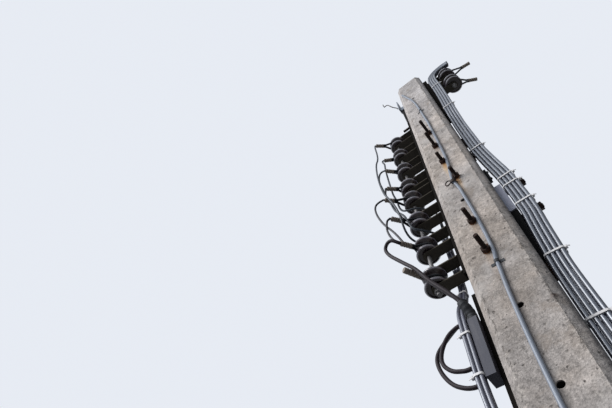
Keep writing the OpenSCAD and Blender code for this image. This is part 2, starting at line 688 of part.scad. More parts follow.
// Two slack loops of black cable beside the box: [out from the riser, y, z]
loop_cable_d = 12;
loop_out = box_out + left_step / 2 + left_riser_d / 2 + seat;
loop_lines = [
    [[0, -50, 2350], [10, -50, 2350], [38, -51, 2364], [66, -52, 2405], [75, -52, 2449], [53, -50, 2485],
        [22, -50, 2500], [10, -50, 2503], [0, -50, 2503]],
    [[0, -37, 2334], [10, -37, 2334], [55, -38, 2366], [92, -38, 2401], [90, -38, 2456], [66, -38, 2512],
        [34, -38, 2540], [10, -38, 2549], [0, -38, 2549]]
];
module drip_loops() {
    color([0.09, 0.08, 0.08])
        for (route = loop_lines) tube([for (p = route) off_left([loop_out + p[0], p[1], p[2]])], loop_cable_d);
}

// Flat galvanised plate near the top of the left face, on a dark gusset with its own bolt
gusset_gap = 6;
gusset_h = 330;
gusset_top_drop = upper_rack_drop - upper_rack_past_top - gusset_gap - gusset_h;
gusset_w = 46;
gusset_out = 34;
gusset_t = 5;
top_plate_h = 170;
top_plate_w = 42;
top_plate_t = 6;
top_plate_lap = 60;
module top_gusset() {
    color([0.2, 0.19, 0.18]) difference() {
        on_face(180, drop(gusset_top_drop + gusset_h)) {
            translate([seat, -gusset_w / 2, 0]) cube([channel_t, gusset_w, gusset_h]);
            for (y = [-gusset_w / 2, gusset_w / 2 - gusset_t])
                translate([0, y + gusset_t, 0]) rotate([90, 0, 0]) linear_extrude(height = gusset_t)
                    polygon([[channel_t / 2, 0], [channel_depth, 0], [gusset_out, gusset_h], [channel_t / 2, gusset_h]]);
        }
        side_bolt_holes(bolt_d + 2);
    }
}
module top_bracket() {
    color([0.5, 0.54, 0.6])
        on_face(180, drop(gusset_top_drop)) {
            translate([gusset_out + seat, 6, -top_plate_lap]) cube([top_plate_t, top_plate_w, top_plate_h]);
            translate([seat, gusset_w / 2 + seat, -top_plate_lap])
                cube([gusset_out + top_plate_t, top_plate_t, top_plate_lap]);
        }
}

shaft();
front_bolts();
front_nuts();
front_washers();
back_washers();
side_bolts();
side_nuts();
side_washers();
upper_rack();
lower_rack();
right_rack();
upper_rack_pin();
lower_rack_pin();
right_rack_pin();
left_spool(1);  // spool_1
left_spool(2);  // spool_2
left_spool(3);  // spool_3
left_spool(4);  // spool_4
left_spool(5);  // spool_5
left_spool(6);  // spool_6
left_spool(7);  // spool_7
left_spool(8);  // spool_8
right_spool(1);  // right_spool_1
right_spool(2);  // right_spool_2
left_line_loops();
left_line_clamps();
left_jumpers();
jumper_sleeve();
right_line_loops();
right_line_clamps();
ground_conduit();
conduit_clips();
right_riser_front();
right_riser_back();
right_ties();
cable_spacer();
spacer_bracket();
left_riser();
left_ties();
guard_box();
guard_bracket();
drip_loops();
top_bracket();
top_gusset();
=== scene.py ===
import json
import math

import bmesh
import bpy
from mathutils import Matrix, Vector


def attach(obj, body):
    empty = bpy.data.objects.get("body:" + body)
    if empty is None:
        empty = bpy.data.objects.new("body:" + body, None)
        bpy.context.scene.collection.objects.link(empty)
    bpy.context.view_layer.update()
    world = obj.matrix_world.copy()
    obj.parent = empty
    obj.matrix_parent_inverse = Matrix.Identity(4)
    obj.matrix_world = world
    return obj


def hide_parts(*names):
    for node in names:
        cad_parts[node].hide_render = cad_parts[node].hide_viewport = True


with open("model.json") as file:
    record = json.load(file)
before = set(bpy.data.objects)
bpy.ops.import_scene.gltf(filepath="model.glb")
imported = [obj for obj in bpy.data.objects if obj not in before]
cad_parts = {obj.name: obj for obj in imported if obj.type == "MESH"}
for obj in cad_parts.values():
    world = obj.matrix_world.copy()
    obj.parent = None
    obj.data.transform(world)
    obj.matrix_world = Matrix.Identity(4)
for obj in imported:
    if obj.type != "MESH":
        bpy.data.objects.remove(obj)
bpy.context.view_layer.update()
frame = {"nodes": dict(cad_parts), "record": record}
nodes = frame["nodes"]

# Sizes that the looks share with the part, in millimetres

MM = 0.001
SEAT = 0.2
POLE_H = 6500
TOP_W = 176
TAPER = 10
LEAN = TAPER / 2000
TILT = math.atan(LEAN)
CORNER_CUT = 22
BOLT_D = 16
NUT_FLATS = 26
NUT_CORNERS_R = NUT_FLATS / 2 / math.cos(math.pi / 6)
NUT_T = 13
HEAD_T = 10
WASHER_T = 5
RING_T = 3
RISER_D = 14
LEFT_RISER_D = 12
RISER_GAP = 0.3
JUMPER_D = 9
THICK_D = 14
SLACK_LOOP_D = 12
CONDUIT_D = 12
LINE_D = 11
SLEEVE_D = 30
TIE_T = 2.4
ARM_REACH = 130
RIGHT_ARM_REACH = 146
STRAP_W = 44
SPOOL_PITCH = 200
RACK_SPOOLS = 4
SPOOL_R = 45
RIGHT_SPOOL_R = 52
GROOVE_R = 25
CLAMP_D = 22
BRACKET_DEPTH = 26
BOX_W = 28
SPACER_DEPTH = 25

# Drops from the shaft's top
LEFT_RACK_DROPS = (719, 1456)
RIGHT_RACK_DROP = 160
CLIP_DROP = 1515
RIGHT_TIE_DROPS = (345, 796, 1412, 1749, 1815, 1952, 2248, 2510, 3250, 3950, 4650, 5350, 6050)
LEFT_TIE_DROPS = (1840, 2147, 2389, 2532, 3250, 3950, 4650, 5350, 6050)

# Each front bolt's drop, its place across, and how far its thread stands free
BOLT_X = -13
FOURTH_BOLT_X = 8
FRONT_BOLTS = (
    (1100, BOLT_X, 72), (1286, BOLT_X, 73), (1478, BOLT_X, 42), (1665, FOURTH_BOLT_X, 40),
    (2005, BOLT_X, 49), (2179, BOLT_X, 54),
)
# Each side bolt's drop, and how far it stands out on the left and on the right
SIDE_BOLTS = (
    (260, 22, 24), (570, 70, 24), (1219, 22, 24), (1388, 22, 57), (1788, 22, 102), (1975, 22, 98),
    (2272, 24, 62), (2940, 24, 62), (3600, 60, 62), (4300, 60, 62), (5000, 60, 62), (5700, 60, 62),
)


def half_width(z):
    """Half the shaft's width at a height."""
    return (TOP_W + TAPER * (POLE_H - z) / 1000) / 2


def drop(d):
    """The height of a place that is measured down from the shaft's top."""
    return POLE_H - d


def off_left(p):
    """A point off the left face, from its distance out, its Y and its drop."""
    return Vector((-half_width(drop(p[2])) - p[0], p[1], drop(p[2])))


def off_right(p):
    """A point off the right face, from its distance out, its Y and its drop."""
    return Vector((half_width(drop(p[2])) + p[0], p[1], drop(p[2])))


def on_face(turn, z):
    """From a face of the shaft at a height to the whole part, in millimetres."""
    return (
        Matrix.Rotation(math.radians(turn), 4, "Z")
        @ Matrix.Translation((half_width(z), 0, z))
        @ Matrix.Rotation(-TILT, 4, "Y")
    )


# Pieces made of round cable, wire and bands

class Shape:
    """Gathers faces in millimetres for one piece, then makes it in metres."""

    def __init__(self, name):
        self.name, self.verts, self.faces, self.kinds, self.flat = name, [], [], [], []

    def add(self, verts, faces, kind=0, flat=False):
        """Adds faces with one of the piece's finishes, which are counted from 0."""
        start = len(self.verts)
        self.verts += [Vector(v) for v in verts]
        for face in faces:
            self.faces.append([start + i for i in face])
            self.kinds.append(kind)
            self.flat.append(flat)

    def make(self, finishes, slot, body="root"):
        """Makes the piece with its finishes, on its body. Its slot is not used."""
        mesh = bpy.data.meshes.new(self.name)
        mesh.from_pydata([tuple(v * MM) for v in self.verts], [], self.faces)
        for finish in finishes:
            mesh.materials.append(finish)
        for polygon, kind, flat in zip(mesh.polygons, self.kinds, self.flat):
            polygon.material_index = kind
            polygon.use_smooth = not flat
        mesh.validate()
        piece = bpy.data.objects.new(self.name, mesh)
        bpy.context.collection.objects.link(piece)
        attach(piece, body)
        return piece


def soften(points, rounds=2):
    """Rounds the corners of a line, and stays within them."""
    points = [Vector(p) for p in points]
    for _ in range(rounds):
        line = [points[0]]
        for a, b in zip(points, points[1:]):
            line += [a.lerp(b, 0.25), a.lerp(b, 0.75)]
        points = line + [points[-1]]
    return points


def frames_along(path):
    """A pair of axes across the line at each of its points, with no twist."""
    axes, last = [], None
    for i in range(len(path)):
        run = (path[min(i + 1, len(path) - 1)] - path[max(i - 1, 0)]).normalized()
        if last is None:
            side = Vector((0, 1, 0)) if abs(run.z) > 0.95 else Vector((0, 0, 1))
            across = run.cross(side).normalized()
        else:
            across = (last - last.dot(run) * run).normalized()
        axes.append((across, run.cross(across)))
        last = across
    return axes


def add_rings(shape, rings, kind=0, end_kind=0, flat=False):
    """Joins each ring of points to the next, and closes both ends."""
    sides = len(rings[0])
    verts = [point for ring in rings for point in ring]
    walls = [
        (a + k, a + (k + 1) % sides, a + sides + (k + 1) % sides, a + sides + k)
        for a in range(0, len(verts) - sides, sides)
        for k in range(sides)
    ]
    shape.add(verts, walls, kind, flat)
    shape.add(rings[0], [range(sides)[::-1]], end_kind, True)
    shape.add(rings[-1], [range(sides)], end_kind, True)


def add_tube(shape, path, d, sides, kind=0, end_kind=None, swell=None):
    """A round tube along a line, closed at both ends."""
    angles = [2 * math.pi * k / sides for k in range(sides)]
    rings = []
    for i, (point, (u, v)) in enumerate(zip(path, frames_along(path))):
        r = d / 2 * swell(i / (len(path) - 1)) if swell else d / 2
        rings.append([point + r * (math.cos(a) * u + math.sin(a) * v) for a in angles])
    add_rings(shape, rings, kind, kind if end_kind is None else end_kind)


def add_lathe(shape, place, profile, sides, flat=False):
    """Turns a profile of (radius, height) about its own upright axis."""
    angles = [2 * math.pi * k / sides for k in range(sides)]
    rings = [[place @ Vector((r * math.cos(a), r * math.sin(a), h)) for a in angles] for r, h in profile]
    add_rings(shape, rings, flat=flat)


def add_hex(shape, place, profile):
    """A bolt's head or a nut, from a profile of (radius at the corners, height)."""
    add_lathe(shape, place, profile, 6, True)


def add_block(shape, place, size, bevel):
    """A block with cut edges, placed by a matrix in millimetres."""
    bm = bmesh.new()
    bmesh.ops.create_cube(bm, size=1, matrix=Matrix.Diagonal((*size, 1)))
    bmesh.ops.bevel(bm, geom=bm.edges[:], offset=bevel, segments=1, profile=0.6, affect="EDGES")
    bm.verts.ensure_lookup_table()
    shape.add([place @ v.co for v in bm.verts], [[v.index for v in f.verts] for f in bm.faces], flat=True)
    bm.free()


# Camera, stage and light

def place_camera():
    """The photo's camera, from its focal length in the photo's pixels, its axes and its place in metres."""
    photo_width, focal_pixels, sensor = 612, 468.634, 36
    cam = bpy.data.cameras.new("photo_camera")
    cam.sensor_width = sensor
    cam.lens = focal_pixels * sensor / photo_width
    cam.clip_start = 0.05
    obj = bpy.data.objects.new("photo_camera", cam)
    right = Vector((0.7651064, 0.63981068, 0.07248792))
    down = Vector((-0.54465326, 0.703108, -0.45715639))
    ahead = Vector((-0.34346037, 0.31029249, 0.8864274))
    turn = Matrix((right, -down, -ahead)).transposed().to_4x4()
    obj.matrix_world = Matrix.Translation((0.12889, -0.97378, 3.11099)) @ turn
    bpy.context.collection.objects.link(obj)
    bpy.context.scene.camera = obj


def pale_floor():
    """A floor that is pale to the camera only, so that it throws little light back."""
    bpy.ops.mesh.primitive_plane_add(size=30)
    floor = bpy.context.object
    floor.name = "pale_floor"
    mat = bpy.data.materials.new("pale_floor")
    mat.use_nodes = True
    tree = mat.node_tree
    shader = tree.nodes["Principled BSDF"]
    shader.inputs["Roughness"].default_value = 0.9
    path = tree.nodes.new("ShaderNodeLightPath")
    seen = mix_colour(tree, path.outputs["Is Camera Ray"], (0.2, 0.205, 0.21), (0.9, 0.91, 0.92))
    tree.links.new(seen, shader.inputs["Base Color"])
    floor.data.materials.append(mat)


def studio_light():
    """A pale sky, brighter from the front left, a soft and a sharper lamp from there, and a weak one behind."""
    world = bpy.data.worlds.new("studio")
    world.use_nodes = True
    tree = world.node_tree
    tree.nodes.clear()
    out = tree.nodes.new("ShaderNodeOutputWorld")
    facing = tree.nodes.new("ShaderNodeVectorMath")
    facing.operation = "DOT_PRODUCT"
    facing.inputs[1].default_value = (-0.70, -0.50, 0.51)
    tree.links.new(tree.nodes.new("ShaderNodeTexCoord").outputs["Generated"], facing.inputs[0])
    path = tree.nodes.new("ShaderNodeLightPath")
    last = None
    for ray, colour, dim, bright in (
        (None, (0.86, 0.92, 1.0, 1), 0.30, 0.42),
        ("Is Glossy Ray", (0.84, 0.89, 0.97, 1), 0.10, 1.0),
        ("Is Camera Ray", (0.80, 0.835, 0.90, 1), 1.0, 1.0),
    ):
        shade = tree.nodes.new("ShaderNodeBackground")
        shade.inputs["Color"].default_value = colour
        tree.links.new(ramp(tree, facing.outputs["Value"], -0.5, 0.9, dim, bright), shade.inputs["Strength"])
        if last is None:
            last = shade
            continue
        mix = tree.nodes.new("ShaderNodeMixShader")
        tree.links.new(path.outputs[ray], mix.inputs["Fac"])
        tree.links.new(last.outputs[0], mix.inputs[1])
        tree.links.new(shade.outputs[0], mix.inputs[2])
        last = mix
    tree.links.new(last.outputs[0], out.inputs["Surface"])
    bpy.context.scene.world = world
    lamps_off = 8
    for name, towards, power, angle, colour in (
        ("key", (-0.46, -0.72, 0.52), 2.1, 50, (1.0, 0.97, 0.935)),
        ("edge", (-0.60, -0.62, 0.50), 0.75, 12, (1.0, 0.98, 0.96)),
        ("back", (0.12, 0.93, 0.36), 0.7, 60, (0.9, 0.95, 1.0)),
    ):
        lamp = bpy.data.lights.new(name, "SUN")
        lamp.energy = power
        lamp.angle = math.radians(angle)
        lamp.color = colour
        obj = bpy.data.objects.new(name, lamp)
        obj.rotation_euler = Vector(towards).to_track_quat("Z", "Y").to_euler()
        obj.location = Vector(towards) * lamps_off
        bpy.context.collection.objects.link(obj)
    bpy.context.scene.view_settings.view_transform = "Standard"


# Shader groups that several finishes share

def new_group(name, inputs, outputs):
    """A shader group, from its inputs with their usual values and the names of its outputs."""
    group = bpy.data.node_groups.new(name, "ShaderNodeTree")
    for label, value in inputs.items():
        socket = group.interface.new_socket(label, in_out="INPUT", socket_type="NodeSocketFloat")
        socket.default_value = value
    for label in outputs:
        kind = "NodeSocketColor" if label == "Colour" else "NodeSocketFloat"
        group.interface.new_socket(label, in_out="OUTPUT", socket_type=kind)
    return group, group.nodes.new("NodeGroupInput"), group.nodes.new("NodeGroupOutput")


def math_node(tree, op, a, b=None):
    """One sum, on values or sockets."""
    node = tree.nodes.new("ShaderNodeMath")
    node.operation = op
    for slot, value in enumerate((a, b)):
        if value is None:
            continue
        if isinstance(value, (int, float)):
            node.inputs[slot].default_value = value
        else:
            tree.links.new(value, node.inputs[slot])
    return node.outputs[0]


def product(tree, first, *others):
    """All the values multiplied."""
    for other in others:
        first = math_node(tree, "MULTIPLY", first, other)
    return first


def mix_colour(tree, fac, a, b, blend="MIX"):
    """Colour a with b over it by a factor."""
    node = tree.nodes.new("ShaderNodeMix")
    node.data_type = "RGBA"
    node.blend_type = blend
    for slot, value in ((0, fac), (6, a), (7, b)):
        if isinstance(value, (int, float)):
            node.inputs[slot].default_value = value
        elif isinstance(value, tuple):
            node.inputs[slot].default_value = (*value, 1)
        else:
            tree.links.new(value, node.inputs[slot])
    return node.outputs[2]


def noise(tree, coord, scale, detail, rough=0.55, distortion=0.0):
    """Cloudy noise, as a value from 0 to 1."""
    node = tree.nodes.new("ShaderNodeTexNoise")
    tree.links.new(coord, node.inputs["Vector"])
    if isinstance(scale, (int, float)):
        node.inputs["Scale"].default_value = scale
    else:
        tree.links.new(scale, node.inputs["Scale"])
    node.inputs["Detail"].default_value = detail
    node.inputs["Roughness"].default_value = rough
    node.inputs["Distortion"].default_value = distortion
    return node.outputs["Fac"]


def ramp(tree, value, low, high, to_low=0.0, to_high=1.0):
    """A smooth step of a value from low to high."""
    node = tree.nodes.new("ShaderNodeMapRange")
    node.interpolation_type = "SMOOTHSTEP"
    tree.links.new(value, node.inputs["Value"])
    for label, number in (("From Min", low), ("From Max", high), ("To Min", to_low), ("To Max", to_high)):
        if isinstance(number, (int, float)):
            node.inputs[label].default_value = number
        else:
            tree.links.new(number, node.inputs[label])
    return node.outputs[0]


def object_coord(tree, stretch=(1, 1, 1)):
    """The object's own coordinates, stretched if asked."""
    coord = tree.nodes.new("ShaderNodeTexCoord").outputs["Object"]
    if stretch == (1, 1, 1):
        return coord
    mapping = tree.nodes.new("ShaderNodeMapping")
    mapping.inputs["Scale"].default_value = stretch
    tree.links.new(coord, mapping.inputs["Vector"])
    return mapping.outputs[0]


def place_parts(tree):
    """A point's X, Y and Z in the object, as three values."""
    node = tree.nodes.new("ShaderNodeSeparateXYZ")
    tree.links.new(object_coord(tree), node.inputs[0])
    return node.outputs


def untapered(tree, aside, up):
    """A distance from the axis with the shaft's taper taken away: each face is at FOOT_HALF at every height."""
    return math_node(tree, "ADD", aside, math_node(tree, "MULTIPLY", up, LEAN))


def gap(tree, a, b):
    """The distance between two values."""
    return math_node(tree, "ABSOLUTE", math_node(tree, "SUBTRACT", a, b))


def mottle_group():
    """Cloudy change of tone with a finer grain in it, and the grain's height."""
    group, gin, gout = new_group(
        "Mottle", {"Cloud Scale": 8, "Grain Scale": 200, "Cloud Amount": 0.15, "Grain Amount": 0.08},
        ("Tone", "Height"),
    )
    coord = object_coord(group)
    cloud = math_node(group, "SUBTRACT", noise(group, coord, gin.outputs[0], 5, 0.6), 0.5)
    grain = math_node(group, "SUBTRACT", noise(group, coord, gin.outputs[1], 3, 0.65), 0.5)
    tone = math_node(group, "MULTIPLY", cloud, gin.outputs[2])
    fine = math_node(group, "MULTIPLY", grain, gin.outputs[3])
    both = math_node(group, "ADD", tone, fine)
    group.links.new(math_node(group, "ADD", both, 1.0), gout.inputs["Tone"])
    group.links.new(grain, gout.inputs["Height"])
    return group


def rust_group():
    """Patchy rust: a mask, its colour and its roughened height."""
    group, gin, gout = new_group("Rust", {"Scale": 60, "Cover": 0.5}, ("Mask", "Colour", "Height"))
    coord = object_coord(group)
    patch = noise(group, coord, gin.outputs["Scale"], 6, 0.68, 0.3)
    edge = math_node(group, "SUBTRACT", 1.0, gin.outputs["Cover"])
    low = math_node(group, "MULTIPLY", edge, 0.9)
    mask = ramp(group, patch, low, math_node(group, "ADD", low, 0.16))
    shade = noise(group, coord, math_node(group, "MULTIPLY", gin.outputs["Scale"], 3.1), 4, 0.6)
    colour = mix_colour(group, ramp(group, shade, 0.35, 0.68), (0.03, 0.013, 0.009), (0.125, 0.05, 0.024))
    group.links.new(mask, gout.inputs["Mask"])
    group.links.new(colour, gout.inputs["Colour"])
    group.links.new(shade, gout.inputs["Height"])
    return group


def streak_group():
    """Run-down dirt: long vertical streaks as a mask."""
    group, gin, gout = new_group("Streaks", {"Width": 60, "Amount": 0.5}, ("Mask",))
    coord = object_coord(group, (1, 1, 0.06))
    lines = noise(group, coord, gin.outputs["Width"], 4, 0.6, 0.15)
    breaks = noise(group, object_coord(group), 5.0, 3, 0.5)
    mask = math_node(group, "MULTIPLY", ramp(group, lines, 0.5, 0.72), ramp(group, breaks, 0.35, 0.65))
    group.links.new(math_node(group, "MULTIPLY", mask, gin.outputs["Amount"]), gout.inputs["Mask"])
    return group


def stain_group():
    """One stain on the front face that runs down from a height, fading as it goes."""
    group, gin, gout = new_group("Stain", {"Across": 0.0, "Top": 5.0, "Length": 0.2, "Width": 0.012}, ("Mask",))
    x, y, up = place_parts(group)
    wander = math_node(group, "SUBTRACT", noise(group, object_coord(group), 24.0, 4, 0.6), 0.5)
    aside = math_node(group, "SUBTRACT", x, gin.outputs["Across"])
    aside = math_node(group, "ADD", aside, math_node(group, "MULTIPLY", wander, 0.014))
    across = ramp(group, math_node(group, "ABSOLUTE", aside), gin.outputs["Width"], 0.0)
    fall = math_node(group, "SUBTRACT", gin.outputs["Top"], up)
    down = ramp(group, fall, gin.outputs["Length"], 0.0)
    start = ramp(group, fall, -0.004, 0.004)
    front = ramp(group, y, 0.0, -0.02)
    patchy = ramp(group, wander, -0.22, 0.12, 0.45, 1.0)
    group.links.new(product(group, across, down, start, front, patchy), gout.inputs["Mask"])
    return group


def pit_group():
    """Scattered small pits, each its own size, as a mask."""
    group, gin, gout = new_group("Pits", {"Scale": 46, "Chance": 0.4, "Size": 0.26}, ("Mask",))
    cells = group.nodes.new("ShaderNodeTexVoronoi")
    group.links.new(object_coord(group), cells.inputs["Vector"])
    group.links.new(gin.outputs["Scale"], cells.inputs["Scale"])
    pick = group.nodes.new("ShaderNodeSeparateColor")
    group.links.new(cells.outputs["Color"], pick.inputs[0])
    edge = math_node(group, "SUBTRACT", 1.0, gin.outputs["Chance"])
    size = ramp(group, pick.outputs[0], edge, 1.0, 0.0, gin.outputs["Size"])
    ragged = math_node(group, "SUBTRACT", noise(group, object_coord(group), 180.0, 2), 0.5)
    away = math_node(group, "ADD", cells.outputs["Distance"], math_node(group, "MULTIPLY", ragged, 0.22))
    mask = product(group, ramp(group, away, size, 0.0), math_node(group, "GREATER_THAN", pick.outputs[0], edge))
    group.links.new(mask, gout.inputs["Mask"])
    return group


GROUPS = {}


def use(tree, maker, **values):
    """Places a shared group with its own values, and builds it the first time."""
    if maker not in GROUPS:
        GROUPS[maker] = maker()
    node = tree.nodes.new("ShaderNodeGroup")
    node.node_tree = GROUPS[maker]
    for label, value in values.items():
        node.inputs[label.replace("_", " ")].default_value = value
    return node


def new_finish(name, rough, metal=0.0):
    """A material with its node tree and its shader."""
    mat = bpy.data.materials.new(name)
    mat.use_nodes = True
    tree = mat.node_tree
    shader = tree.nodes["Principled BSDF"]
    shader.inputs["Roughness"].default_value = rough
    shader.inputs["Metallic"].default_value = metal
    return mat, tree, shader


def bump(tree, shader, height, strength, distance):
    """Roughens a shader's surface by a height."""
    node = tree.nodes.new("ShaderNodeBump")
    node.inputs["Strength"].default_value = strength
    node.inputs["Distance"].default_value = distance
    tree.links.new(height, node.inputs["Height"])
    tree.links.new(node.outputs[0], shader.inputs["Normal"])


def toned(tree, colour, tone):
    """Base colour times a tone that changes over the surface."""
    grey = tree.nodes.new("ShaderNodeCombineColor")
    for slot in range(3):
        tree.links.new(tone, grey.inputs[slot])
    return mix_colour(tree, 1.0, colour, grey.outputs[0], "MULTIPLY")


# Finishes

# The faces' distance from the axis at the foot, in metres
FOOT_HALF = half_width(0) * MM

# Levels of a rim's two edges above and below a spool's middle, in millimetres, where the glaze's painted highlights
# run
RIM_EDGES = (33.5, 25.5)

# Patches in the concrete: the noise's scale, detail, roughness and bend, its limits, the strength and the colour
PATCHES = (
    (7.5, 4, 0.6, 0.5, 0.53, 0.66, 0.5, (0.57, 0.545, 0.535)),
    (31.0, 5, 0.7, 0.4, 0.60, 0.72, 0.5, (0.60, 0.565, 0.53)),
    (14.0, 6, 0.74, 0.3, 0.52, 0.66, 0.75, (0.30, 0.262, 0.235)),
)

# Stains on the front face: place across, top, length and width in metres, then strength and colour
STAINS = (
    (-0.013, 5.012, 0.20, 0.019, 0.95, (0.62, 0.44, 0.25)),
    (-0.013, 5.010, 0.07, 0.014, 0.8, (0.42, 0.2, 0.07)),
    (0.006, 4.826, 0.17, 0.018, 0.8, (0.6, 0.4, 0.2)),
    (0.006, 4.824, 0.06, 0.013, 0.7, (0.36, 0.17, 0.07)),
    (-0.013, 5.205, 0.08, 0.014, 0.5, (0.34, 0.2, 0.11)),
    (-0.013, 4.482, 0.13, 0.018, 0.5, (0.34, 0.22, 0.13)),
    (-0.013, 4.308, 0.15, 0.02, 0.5, (0.33, 0.22, 0.14)),
    (-0.007, 6.088, 0.16, 0.012, 0.6, (0.2, 0.185, 0.18)),
    (-0.010, 4.652, 0.2, 0.013, 0.6, (0.2, 0.18, 0.165)),
    (0.081, 4.050, 0.045, 0.017, 1.0, (0.05, 0.026, 0.018)),
    (0.066, 3.917, 0.016, 0.009, 1.0, (0.07, 0.055, 0.05)),
    (0.0, 4.057, 0.22, 0.014, 0.6, (0.19, 0.175, 0.165)),
    (0.0, 3.81, 0.24, 0.014, 0.6, (0.19, 0.175, 0.165)),
)


def concrete():
    """Cast concrete: pale and smooth near the top, browner and dirtier lower down."""
    mat, tree, shader = new_finish("cast_concrete", 0.9)
    coord = object_coord(tree)
    x, y, up = place_parts(tree)
    across = untapered(tree, math_node(tree, "ABSOLUTE", x), up)
    side = untapered(tree, math_node(tree, "ABSOLUTE", y), up)

    # Clouds, sand and grain
    broad = use(tree, mottle_group, Cloud_Scale=6.5, Grain_Scale=90.0, Cloud_Amount=1.15, Grain_Amount=1.2)
    fine = use(tree, mottle_group, Cloud_Scale=24.0, Grain_Scale=230.0, Cloud_Amount=1.5, Grain_Amount=1.6)
    paler = ramp(tree, up, 4.0, 5.2, 0.76, 1.0)
    tone = product(tree, broad.outputs["Tone"], fine.outputs["Tone"], paler)
    warm = ramp(tree, noise(tree, coord, 3.6, 5, 0.62), 0.42, 0.62)
    base = mix_colour(tree, product(tree, warm, 0.55), (0.475, 0.442, 0.428), (0.49, 0.418, 0.362))
    base = mix_colour(tree, ramp(tree, up, 5.2, 6.3, 0.0, 0.75), base, (0.455, 0.442, 0.455))
    colour = toned(tree, base, tone)

    # Worn pale, lime and dark sandy patches
    for scale, detail, rough, bend, low, high, strength, shade in PATCHES:
        patch = ramp(tree, noise(tree, coord, scale, detail, rough, bend), low, high, 0.0, strength)
        colour = mix_colour(tree, patch, colour, shade)

    # Pits, and wear and chips along the edges of the front face
    small = use(tree, pit_group, Scale=62.0, Chance=0.62, Size=0.4)
    large = use(tree, pit_group, Scale=21.0, Chance=0.5, Size=0.27)
    pit = math_node(tree, "MAXIMUM", small.outputs[0], large.outputs[0])
    from_edge = gap(tree, across, FOOT_HALF - CORNER_CUT * MM)
    front = ramp(tree, y, 0.0, -0.05)
    rough_edge = ramp(tree, noise(tree, coord, 42.0, 5, 0.7), 0.5, 0.62)
    chip = product(tree, ramp(tree, from_edge, 0.008, 0.0), rough_edge, front)
    pale_edge = ramp(tree, noise(tree, coord, 70.0, 4, 0.7), 0.48, 0.6)
    wear_and_highlight = product(tree, ramp(tree, from_edge, 0.016, 0.0), pale_edge, front)
    colour = mix_colour(tree, product(tree, wear_and_highlight, 0.6), colour, (0.62, 0.575, 0.54))
    hollow = math_node(tree, "MAXIMUM", pit, product(tree, chip, 0.8))
    colour = mix_colour(tree, product(tree, hollow, 0.88), colour, (0.12, 0.105, 0.095))

    # Painted shade with some dirt on the right face, long runs of dirt, and the stains below the bolts
    # Painted shade: the right face and the outer half of its chamfer are painted dark grey, patchily, with some dirt
    # in it
    right = ramp(tree, untapered(tree, x, up), FOOT_HALF - 0.0105, FOOT_HALF - 0.001)
    grime_and_shade = ramp(tree, noise(tree, coord, 48.0, 5, 0.7), 0.3, 0.7, 0.97, 0.55)
    colour = mix_colour(tree, product(tree, right, grime_and_shade), colour, (0.085, 0.08, 0.084))
    streak = use(tree, streak_group, Width=34.0, Amount=0.32)
    colour = mix_colour(tree, streak.outputs[0], colour, (0.25, 0.222, 0.205))
    for middle, top, length, width, strength, shade in STAINS:
        run = use(tree, stain_group, Across=middle, Top=top, Length=length, Width=width)
        colour = mix_colour(tree, product(tree, run.outputs[0], strength), colour, shade)

    # Painted shade: the bores' walls, more than 3 mm inside every face, are painted near black
    skin, full = FOOT_HALF - 0.003, FOOT_HALF - 0.005
    corner = 2 * FOOT_HALF - CORNER_CUT * MM
    top = POLE_H * MM
    bore_shade = product(
        tree, ramp(tree, across, skin, full), ramp(tree, side, skin, full),
        ramp(tree, math_node(tree, "ADD", across, side), corner - 0.003, corner - 0.0055),
        ramp(tree, up, top - 0.003, top - 0.006), ramp(tree, up, 0.003, 0.006),
    )
    colour = mix_colour(tree, bore_shade, colour, (0.012, 0.009, 0.008))
    tree.links.new(colour, shader.inputs["Base Color"])
    broad_grain = product(tree, broad.outputs["Height"], 1.1)
    fine_grain = product(tree, fine.outputs["Height"], 0.5)
    grains = math_node(tree, "ADD", broad_grain, fine_grain)
    bump(tree, shader, math_node(tree, "SUBTRACT", grains, hollow), 0.9, 0.0034)
    return mat


def rusty_steel(name, base, cover, scale, rough, metal, channel_shade=None):
    """Weathered metal with rust over a share of it. A rack's channel can be painted darker than its straps, as
    painted shade with some dirt.
    """
    mat, tree, shader = new_finish(name, rough, metal)
    shader.inputs["Specular IOR Level"].default_value = 0.02 if channel_shade else 0.18
    mottle = use(tree, mottle_group, Cloud_Scale=18.0, Grain_Scale=420.0, Cloud_Amount=0.5, Grain_Amount=0.35)
    rust = use(tree, rust_group, Scale=scale, Cover=cover)
    bare = toned(tree, base, mottle.outputs["Tone"])
    colour = mix_colour(tree, rust.outputs["Mask"], bare, rust.outputs["Colour"])
    if channel_shade:
        # The straps begin 27 mm out from the shaft; inside that, the channel is painted dark as painted shade with
        # some dirt
        x, _, up = place_parts(tree)
        across = untapered(tree, math_node(tree, "ABSOLUTE", x), up)
        inner = ramp(tree, across, FOOT_HALF + 0.0315, FOOT_HALF + 0.0255)
        colour = mix_colour(tree, inner, colour, channel_shade)
    tree.links.new(colour, shader.inputs["Base Color"])
    tree.links.new(ramp(tree, rust.outputs["Mask"], 0.0, 1.0, rough, 0.92), shader.inputs["Roughness"])
    bump(tree, shader, rust.outputs["Height"], 0.5, 0.0012)
    return mat


